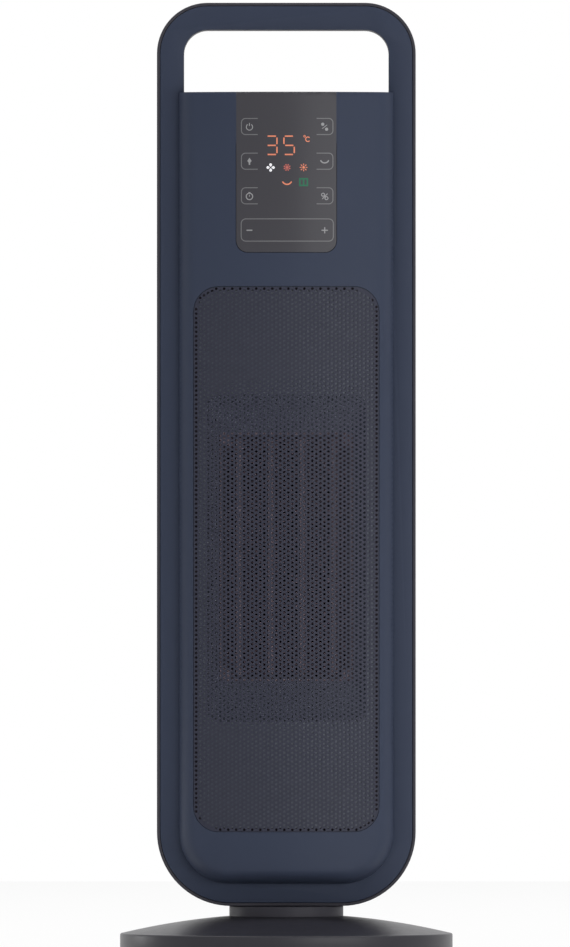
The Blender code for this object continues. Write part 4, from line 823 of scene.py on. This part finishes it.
def sloping(name, near, far, far_depth):
    """A wall that runs back from the duct plate's surface at one outline to another outline, deeper in."""
    near, far = [Vector(point) for point in near], [Vector(point) for point in far]
    pairs = []
    for index, start in enumerate(near):
        following = (index + 1) % len(near)
        parts = math.ceil((near[following] - start).length / 0.006)
        pairs += [(start.lerp(near[following], part / parts), far[index].lerp(far[following], part / parts))
                  for part in range(parts)]
    points, count = [], len(pairs)
    for share in (0, 0.25, 0.5, 0.75, 1):
        for outer, inner in pairs:
            front = -depth(*outer) + BACKING_DROP + BACKING_THICK / 2
            x, z = outer.lerp(inner, share)
            points.append((x, front + (far_depth(front) - front) * share, z))
    faces = [(a, b, b + count, a + count) for level in range(4) for a, b in
             ((level * count + k, level * count + (k + 1) % count) for k in range(count))]
    return smooth(piece_from(name, points, faces))


funnel = sloping("funnel", mouth, throat, lambda front: element_low.y)
skirt = sloping("duct_skirt", plate_outline, flange, lambda front: front + SKIRT_DEPTH)
finish_piece(duct, "tower", DUCT_PAINTED_LIGHT, "grille_paint", "outlet_duct")
finish_piece(funnel, "tower", FUNNEL_PAINTED_LIGHT, "grille_paint")
# The skirt takes the frame's darker grey, as painted shade.
finish_piece(skirt, "tower", FRAME_PAINTED_SHADE, "grille_paint")

# %% [markdown]
# The element's frame has a raised lip and a screw boss in each corner, and each of its four bars has a
# narrow rib down its middle. All of them show through the grille, in a light grey as painted light.

# %% Element frame
LIP_RISE, LIP_OUTER, LIP_INNER, RIB_HALF = 0.0012, 0.0002, 0.0016, 0.0016
BOSS_HALF, BOSS_HALF_HEIGHT, BOSS_RISE = 0.0030, 0.0036, 0.0014
face = element_low.y


def element_line(inset, radius):
    """The outline of the element's frame, drawn in by a distance."""
    return rounded(element_high.x - inset, element_low.z + inset, element_high.z - inset, radius, radius, 4)


lip = slab("element_lip", element_line(LIP_OUTER, 0.002), face - LIP_RISE, face)
cut(lip, slab("opening", element_line(LIP_INNER, 0.001), face - 0.01, face + 0.01))
finish_piece(smooth(lip), "tower", FRAME_PAINTED_LIGHT, "black_plastic")
for index in range(4):
    low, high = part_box(f"ptc_bar_{index + 1}")
    outline = rounded(RIB_HALF, low.z, high.z, 0.0005, 0.0005, 3, (low.x + high.x) / 2)
    rib = slab(f"bar_rib_{index + 1}", outline, low.y - LIP_RISE, low.y)
    finish_piece(smooth(rib), "tower", FRAME_PAINTED_LIGHT, "heater_ceramic")
for side, hand in ((-1, "left"), (1, "right")):
    for z, level in ((element_low.z + 0.0052, "low"), (element_high.z - 0.0052, "high")):
        outline = rounded(BOSS_HALF, z - BOSS_HALF_HEIGHT, z + BOSS_HALF_HEIGHT, 0.001, 0.001, 4,
                          side * (element_high.x - 0.0050))
        boss = slab(f"boss_{hand}_{level}", outline, face - BOSS_RISE, face)
        finish_piece(soften(boss, 0.0004), "tower", FRAME_PAINTED_LIGHT, "black_plastic")

# %% [markdown]
# The folded fins between the bars are far finer on the real element than in the frame, so they are drawn
# again finer here: one strip of thin aluminium folded to and fro, tinted lighter as painted light.

# %% Fins
FOLDS, FIN_THICK, FIN_BEND = 140, 0.0003, 0.00035
for index in range(5):
    low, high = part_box(f"fin_strip_{index + 1}")
    points = []
    for fold in range(FOLDS + 1):
        x = high.x if fold % 2 else low.x
        z = low.z + (high.z - low.z) * fold / FOLDS
        for turn in (-FIN_BEND, FIN_BEND):
            points += [(x, low.y, z + turn), (x, high.y, z + turn)]
    faces = [(2 * row, 2 * row + 1, 2 * row + 3, 2 * row + 2) for row in range(len(points) // 2 - 1)]
    fins = piece_from(f"fins_{index + 1}", points, faces)
    apply(fins, "SOLIDIFY", thickness=FIN_THICK)
    finish_piece(fins, "tower", FIN_PAINTED_LIGHT, "aluminium", f"fin_strip_{index + 1}")

# %% [markdown]
# ## The back
#
# The rear shell carries the intake cover, which pulls straight off with its dust filter, the mains
# switch, and four deep wells down which the screws reach into the front shell.

# %% Rear shell and its screw wells
SWITCH_Z, SCREW_WELL_R, TUBE_WALL = 0.115, 0.0037, 0.0012
WELLS = [(x, z) for z in (0.080, 0.560) for x in (-0.052, 0.052)]


def intake_line(inset, radius, steps=12):
    """The intake cover's outline, drawn in by a distance."""
    return rounded(INTAKE_HALF - inset, INTAKE_LOW + inset, INTAKE_HIGH - inset, radius, radius, steps)


def switch_line(half, rise, radius, steps=3):
    """An outline round the middle of the mains switch."""
    return rounded(half, SWITCH_Z - rise, SWITCH_Z + rise, radius, radius, steps)


openings = [intake_line(-SEAM, INTAKE_R + SEAM), switch_line(0.0098, 0.0133, 0.0008)]
openings += [circle(SCREW_WELL_R, 28, x, z) for x, z in WELLS]
rear_shell = shell("shell_rear", BACK, openings)
for x, z in WELLS:
    bpy.ops.mesh.primitive_cylinder_add(vertices=28, radius=SCREW_WELL_R, depth=depth(x, z) - 0.0045,
                                        end_fill_type="NOTHING", rotation=(math.radians(90), 0, 0),
                                        location=(x, (depth(x, z) + 0.0001) / 2, z))
    tube = bpy.context.object
    bpy.ops.object.transform_apply()
    apply(tube, "SOLIDIFY", thickness=TUBE_WALL, offset=1)
    join(rear_shell, tube)
finish_piece(smooth(rear_shell), "tower", NAVY, "navy_plastic", "rear_shell")

# %% [markdown]
# The cover is a pressed sheet with thirty-nine slots across it. The filter lies inside it, a thin sheet
# with the same bulge, and both come off together.

# %% Intake cover and filter
SLOT_COUNT, SLOT_PITCH, SLOT_HALF, SLOT_HALF_HEIGHT, SLOT_R = 39, 0.0055, 0.042, 0.0014, 0.00135
FILTER_INSET, FILTER_THICK = 0.0065, 0.0014
slots = []
for slot in range(SLOT_COUNT):
    z = (INTAKE_LOW + INTAKE_HIGH) / 2 + (slot - SLOT_COUNT // 2) * SLOT_PITCH
    slots.append(rounded(SLOT_HALF, z - SLOT_HALF_HEIGHT, z + SLOT_HALF_HEIGHT, SLOT_R, SLOT_R, 4))
cover = pressed("intake_cover_fine", BACK, intake_line(0, INTAKE_R), slots, (), 0.003, wall=INTAKE_THICK)
finish_piece(cover, "intake", NAVY, "navy_plastic", "intake_cover")
dust = pressed("filter_sheet", BACK, intake_line(FILTER_INSET, 0.001, 2), (), (), 0.006,
               drop=INTAKE_THICK + SEAM, wall=FILTER_THICK)
finish_piece(dust, "intake", FILTER, "filter_mesh", "dust_filter")

# %% [markdown]
# The switch is a flanged body pressed into the shell: a flange with soft edges and, behind it, a sleeve.
# The pocket for the rocker is cut into both of them.

# %% The switch's body
POCKET = switch_line(0.008, 0.0115, 0.0005)
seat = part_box("switch_body")[1].y
pocket = slab("switch_frame", switch_line(0.012, 0.0155, 0.0015, 5), seat - 0.002, seat)
cut(pocket, slab("pocket", POCKET, seat - 0.0123, seat + 0.01))
soften(pocket, 0.0004, 3)
sleeve = slab("sleeve", switch_line(0.0095, 0.013, 0.0005), seat - 0.014, seat - 0.0015)
cut(sleeve, slab("pocket", POCKET, seat - 0.0125, seat + 0.01))
join(pocket, sleeve)
finish_piece(smooth(pocket), "tower", BLACK, "black_plastic", "switch_body")

# %% [markdown]
# The rocker tips on a pivot inside the pocket. Its face falls towards the middle from both ends, and it
# carries the usual line and ring for on and off, printed on that face. The print takes the white lamp's
# finish and glows a little, as painted light.

# %% The rocker
FACE_MIDDLE, FACE_KNEE, FACE_END = (0.0047, 0.001), (0.0052, 0.005), (0.0062, 0.0104)  # (out, up)
upper_half = [(-0.003, 0.00416), (0.0035, 0.0104), FACE_END, FACE_KNEE, FACE_MIDDLE]
profile = upper_half + [(out, -up) for out, up in reversed(upper_half)]
ROCKER_HALF, ROCKER_TILT, PIVOT_DEPTH = 0.0077, math.radians(-8), 0.005
rocker = slab("rocker_cap", profile, -ROCKER_HALF, ROCKER_HALF, "X")
soften(rocker, 0.0005, 3, 25)
MARK_HALF, MARK_STEPS, RING_Z, RING_OUTER, RING_INNER = 0.00035, 24, -0.0058, 0.0022, 0.0016
mark_points = [(-MARK_HALF, 0.0038), (MARK_HALF, 0.0038), (MARK_HALF, 0.0078), (-MARK_HALF, 0.0078)]
for outer, inner in zip(circle(RING_OUTER, MARK_STEPS, 0, RING_Z), circle(RING_INNER, MARK_STEPS, 0, RING_Z)):
    mark_points += [outer, inner]
mark_faces = [(0, 1, 2, 3)]
for k in range(0, 2 * MARK_STEPS, 2):
    mark_faces.append((4 + k, 5 + k, 4 + (k + 3) % (2 * MARK_STEPS), 4 + (k + 2) % (2 * MARK_STEPS)))


def rocker_face(z):
    """How far the rocker's face stands out at a height."""
    inner, outer = (FACE_MIDDLE, FACE_KNEE) if abs(z) < FACE_KNEE[1] else (FACE_KNEE, FACE_END)
    share = max(0, abs(z) - inner[1]) / (outer[1] - inner[1])
    return inner[0] + (outer[0] - inner[0]) * share


on_off = piece_from("rocker_marks", [(x, rocker_face(z) + 0.00003, z) for x, z in mark_points], mark_faces)
for piece in (rocker, on_off):
    piece.rotation_euler.x = ROCKER_TILT
    piece.location = (0, seat - PIVOT_DEPTH, SWITCH_Z)
    activate(piece, "OBJECT")
    bpy.ops.object.transform_apply()
finish_piece(rocker, "rocker", BLACK, "black_plastic", "switch_rocker")
# The marks glow with the white lamp's finish: painted light.
finish_piece(on_off, "rocker", WHITE, "black_plastic")

# %% [markdown]
# ## The base
#
# The base is a turned shape: a shallow dome with a small fillet at its rim, open in the middle for the
# neck. Its half outline runs over the dome, down the rim and back inside, and is spun once round.

# %% Base cover
BASE_R, DOME_TOP, RIM_TOP, RIM_FOOT, NECK_R = 0.11325, 0.0302, 0.0167, 0.0027, 0.0388
RIM_FILLET, COVER_WALL, DOME_STEPS, CORD_HOLE_R, CORD_HOLE_Z = 0.0012, 0.0025, 24, 0.0038, 0.0099
rise = DOME_TOP - RIM_TOP
sphere = (BASE_R ** 2 + rise ** 2) / (2 * rise)


def dome(radius, wall=0.0):
    """Height of the dome at a radius."""
    return DOME_TOP - wall - (sphere - math.sqrt(sphere ** 2 - radius ** 2))


opening, edge, wall = NECK_R + 0.0004, BASE_R - RIM_FILLET, BASE_R - COVER_WALL
radii = [opening + (edge - opening) * k / DOME_STEPS for k in range(DOME_STEPS + 1)]
turns = [math.radians(t) for t in (15, 30, 45, 60, 75, 90)]
start = (opening, dome(opening, COVER_WALL))
profile = [start, *((radius, dome(radius)) for radius in radii)]
under = dome(edge) - RIM_FILLET
profile += [(edge + RIM_FILLET * math.sin(t), under + RIM_FILLET * math.cos(t)) for t in turns]
profile += [(BASE_R, RIM_FOOT + 0.0008), (BASE_R - 0.0002, RIM_FOOT + 0.0003), (BASE_R - 0.0008, RIM_FOOT)]
profile += [(wall, RIM_FOOT), (wall, dome(wall, COVER_WALL)), (0.08, dome(0.08, COVER_WALL)), start]
base = spun("base_dome", profile, 192)
bpy.ops.mesh.primitive_cylinder_add(vertices=40, radius=CORD_HOLE_R, depth=0.02,
                                    rotation=(math.radians(90), 0, 0), location=(0, BASE_R, CORD_HOLE_Z))
cut(base, bpy.context.object)
# The dome takes the darker charcoal, as painted shade.
finish_piece(smooth(base, 30), "base", DOME_CHARCOAL_PAINTED_SHADE, "charcoal_plastic", "base_cover")

# %% [markdown]
# The neck is a collar round a thick inner sleeve, and it turns with the tower. The five feet are rubber
# pads with a bevelled sole.

# %% Neck and feet
NECK_WALL, SLEEVE_INNER, SLEEVE_OUTER, FOOT_R = 0.004, 0.012, 0.024, 0.008
low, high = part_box("swivel_neck")
inner, under = NECK_R - NECK_WALL, high.z - NECK_WALL
profile = [(SLEEVE_INNER, high.z), (NECK_R, high.z), (NECK_R, low.z), (inner, low.z), (inner, under),
           (SLEEVE_OUTER, under), (SLEEVE_OUTER, low.z), (SLEEVE_INNER, low.z), (SLEEVE_INNER, high.z)]
neck = spun("neck_turned", fillet(profile, 0.0006), 128)
finish_piece(smooth(neck), "tower", CHARCOAL, "charcoal_plastic", "swivel_neck")
for index in range(5):
    low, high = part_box(f"foot_{index + 1}")
    centre = (low + high) / 2
    profile = [(0.0, 0.0), (FOOT_R - 0.0006, 0.0), (FOOT_R, 0.0012), (FOOT_R, high.z), (0.0, high.z)]
    foot = spun(f"foot_pad_{index + 1}", fillet(profile, 0.0005), 40, centre=(centre.x, centre.y, 0))
    finish_piece(smooth(foot), "base", RUBBER, "rubber", f"foot_{index + 1}")

# %% [markdown]
# ## Camera, light and floor
#
# The photograph looks straight ahead at the middle of the heater and shows almost no perspective. So the
# camera stands sixteen metres away, level, with a lens long enough to fill the picture.

# %% Camera
scene = bpy.context.scene
lens = bpy.data.cameras.new("camera")
camera = bpy.data.objects.new("camera", lens)
scene.collection.objects.link(camera)
camera.location = (-0.0009, -16.0, 0.3299)
camera.rotation_euler = (math.radians(90), 0, 0)
lens.lens, lens.sensor_width, lens.clip_end = 893.0, 36, 400
scene.camera = camera
scene.view_settings.view_transform = "Standard"

# %% [markdown]
# A wide soft lamp stands in front and to the right. A small one with a narrow beam lights the left end
# of the base from behind, and a large one overhead keeps the floor white.

# %% Lamps
def soft_light(name, place, aim, width, height, power):
    """A large soft lamp at a place, turned towards a point."""
    lamp = bpy.data.lights.new(name, "AREA")
    lamp.shape, lamp.size, lamp.size_y, lamp.energy = "RECTANGLE", width, height, power
    holder = bpy.data.objects.new(name, lamp)
    scene.collection.objects.link(holder)
    holder.location = place
    holder.rotation_euler = (Vector(aim) - Vector(place)).to_track_quat("-Z", "Y").to_euler()
    return holder


soft_light("key", (1.72, -2.6, 0.34), (0, 0, 0.3), 2.8, 0.66, 22.5)
edge = soft_light("edge", (-1.3, 0.7, 0.06), (0, 0, 0.02), 0.3, 0.1, 0.012)
edge.data.spread = math.radians(14)
soft_light("overhead", (0, 0.8, 3.2), (0, 0.8, 0), 3.4, 3.4, 80)

# %% [markdown]
# The surroundings are plain white wherever the camera sees them, also in a gloss or through glass. What
# they shed on dull surfaces is uneven: most from behind, less from the front, next to none from the sides.

# %% Surroundings
SKY_FRONT, SKY_BACK, SKY_SIDE = 0.3, 0.8, 0.03
world = bpy.data.worlds.new("studio")
scene.world = world
world.use_nodes = True
sky = world.node_tree


def sky_part(strength):
    """White light of one strength."""
    part = sky.nodes.new("ShaderNodeBackground")
    part.inputs["Color"].default_value = (1, 1, 1, 1)
    part.inputs["Strength"].default_value = strength
    return part.outputs[0]


def blend(tree, factor, first, second):
    """Two shaders mixed by a factor."""
    made = tree.nodes.new("ShaderNodeMixShader")
    for socket, index in ((factor, 0), (first, 1), (second, 2)):
        tree.links.new(socket, made.inputs[index])
    return made.outputs[0]


def seen_directly(tree):
    """1 for what the camera sees, also in a mirror or through glass, and 0 for light on other things."""
    path = tree.nodes.new("ShaderNodeLightPath").outputs
    direct, mirrored, through = (Value(tree, path[f"Is {kind} Ray"])
                                 for kind in ("Camera", "Glossy", "Transmission"))
    return direct.sum("MAXIMUM", mirrored.sum("MAXIMUM", through))


way = Value(sky, sky.nodes.new("ShaderNodeTexCoord").outputs["Generated"])
across, away = (way.node("ShaderNodeSeparateXYZ", index, i0=way) for index in (0, 1))
sideways = across.sum("ABSOLUTE").span(0.30, 0.70)
behind = blend(sky, away.span(0.0, 0.3).socket, sky_part(SKY_FRONT), sky_part(SKY_BACK))
lit = blend(sky, sideways.socket, behind, sky_part(SKY_SIDE))
shown = blend(sky, seen_directly(sky).socket, lit, sky_part(1.0))
sky.links.new(shown, sky.nodes["World Output"].inputs["Surface"])

# %% [markdown]
# The heater stands on white paper. The paper glows as well as reflects, so that it meets the white behind
# it without a line, while a faint shadow still lies under the base.

# %% Floor
PAPER_GLOW = 0.84
floor = piece_from("floor", [(-3, -3, 0), (3, -3, 0), (3, 3, 0), (-3, 3, 0)], [(0, 1, 2, 3)])
paper = textured("floor_white", (0.93, 0.93, 0.93), 0.6, 60, 0.0001, 0.01)
tree = paper.node_tree
white = tree.nodes.new("ShaderNodeEmission")
white.inputs["Strength"].default_value = 1.0
glow = seen_directly(tree) * PAPER_GLOW
shown = blend(tree, glow.socket, tree.nodes["Principled BSDF"].outputs[0], white.outputs[0])
tree.links.new(shown, tree.nodes["Material Output"].inputs["Surface"])
floor.data.materials.append(paper)
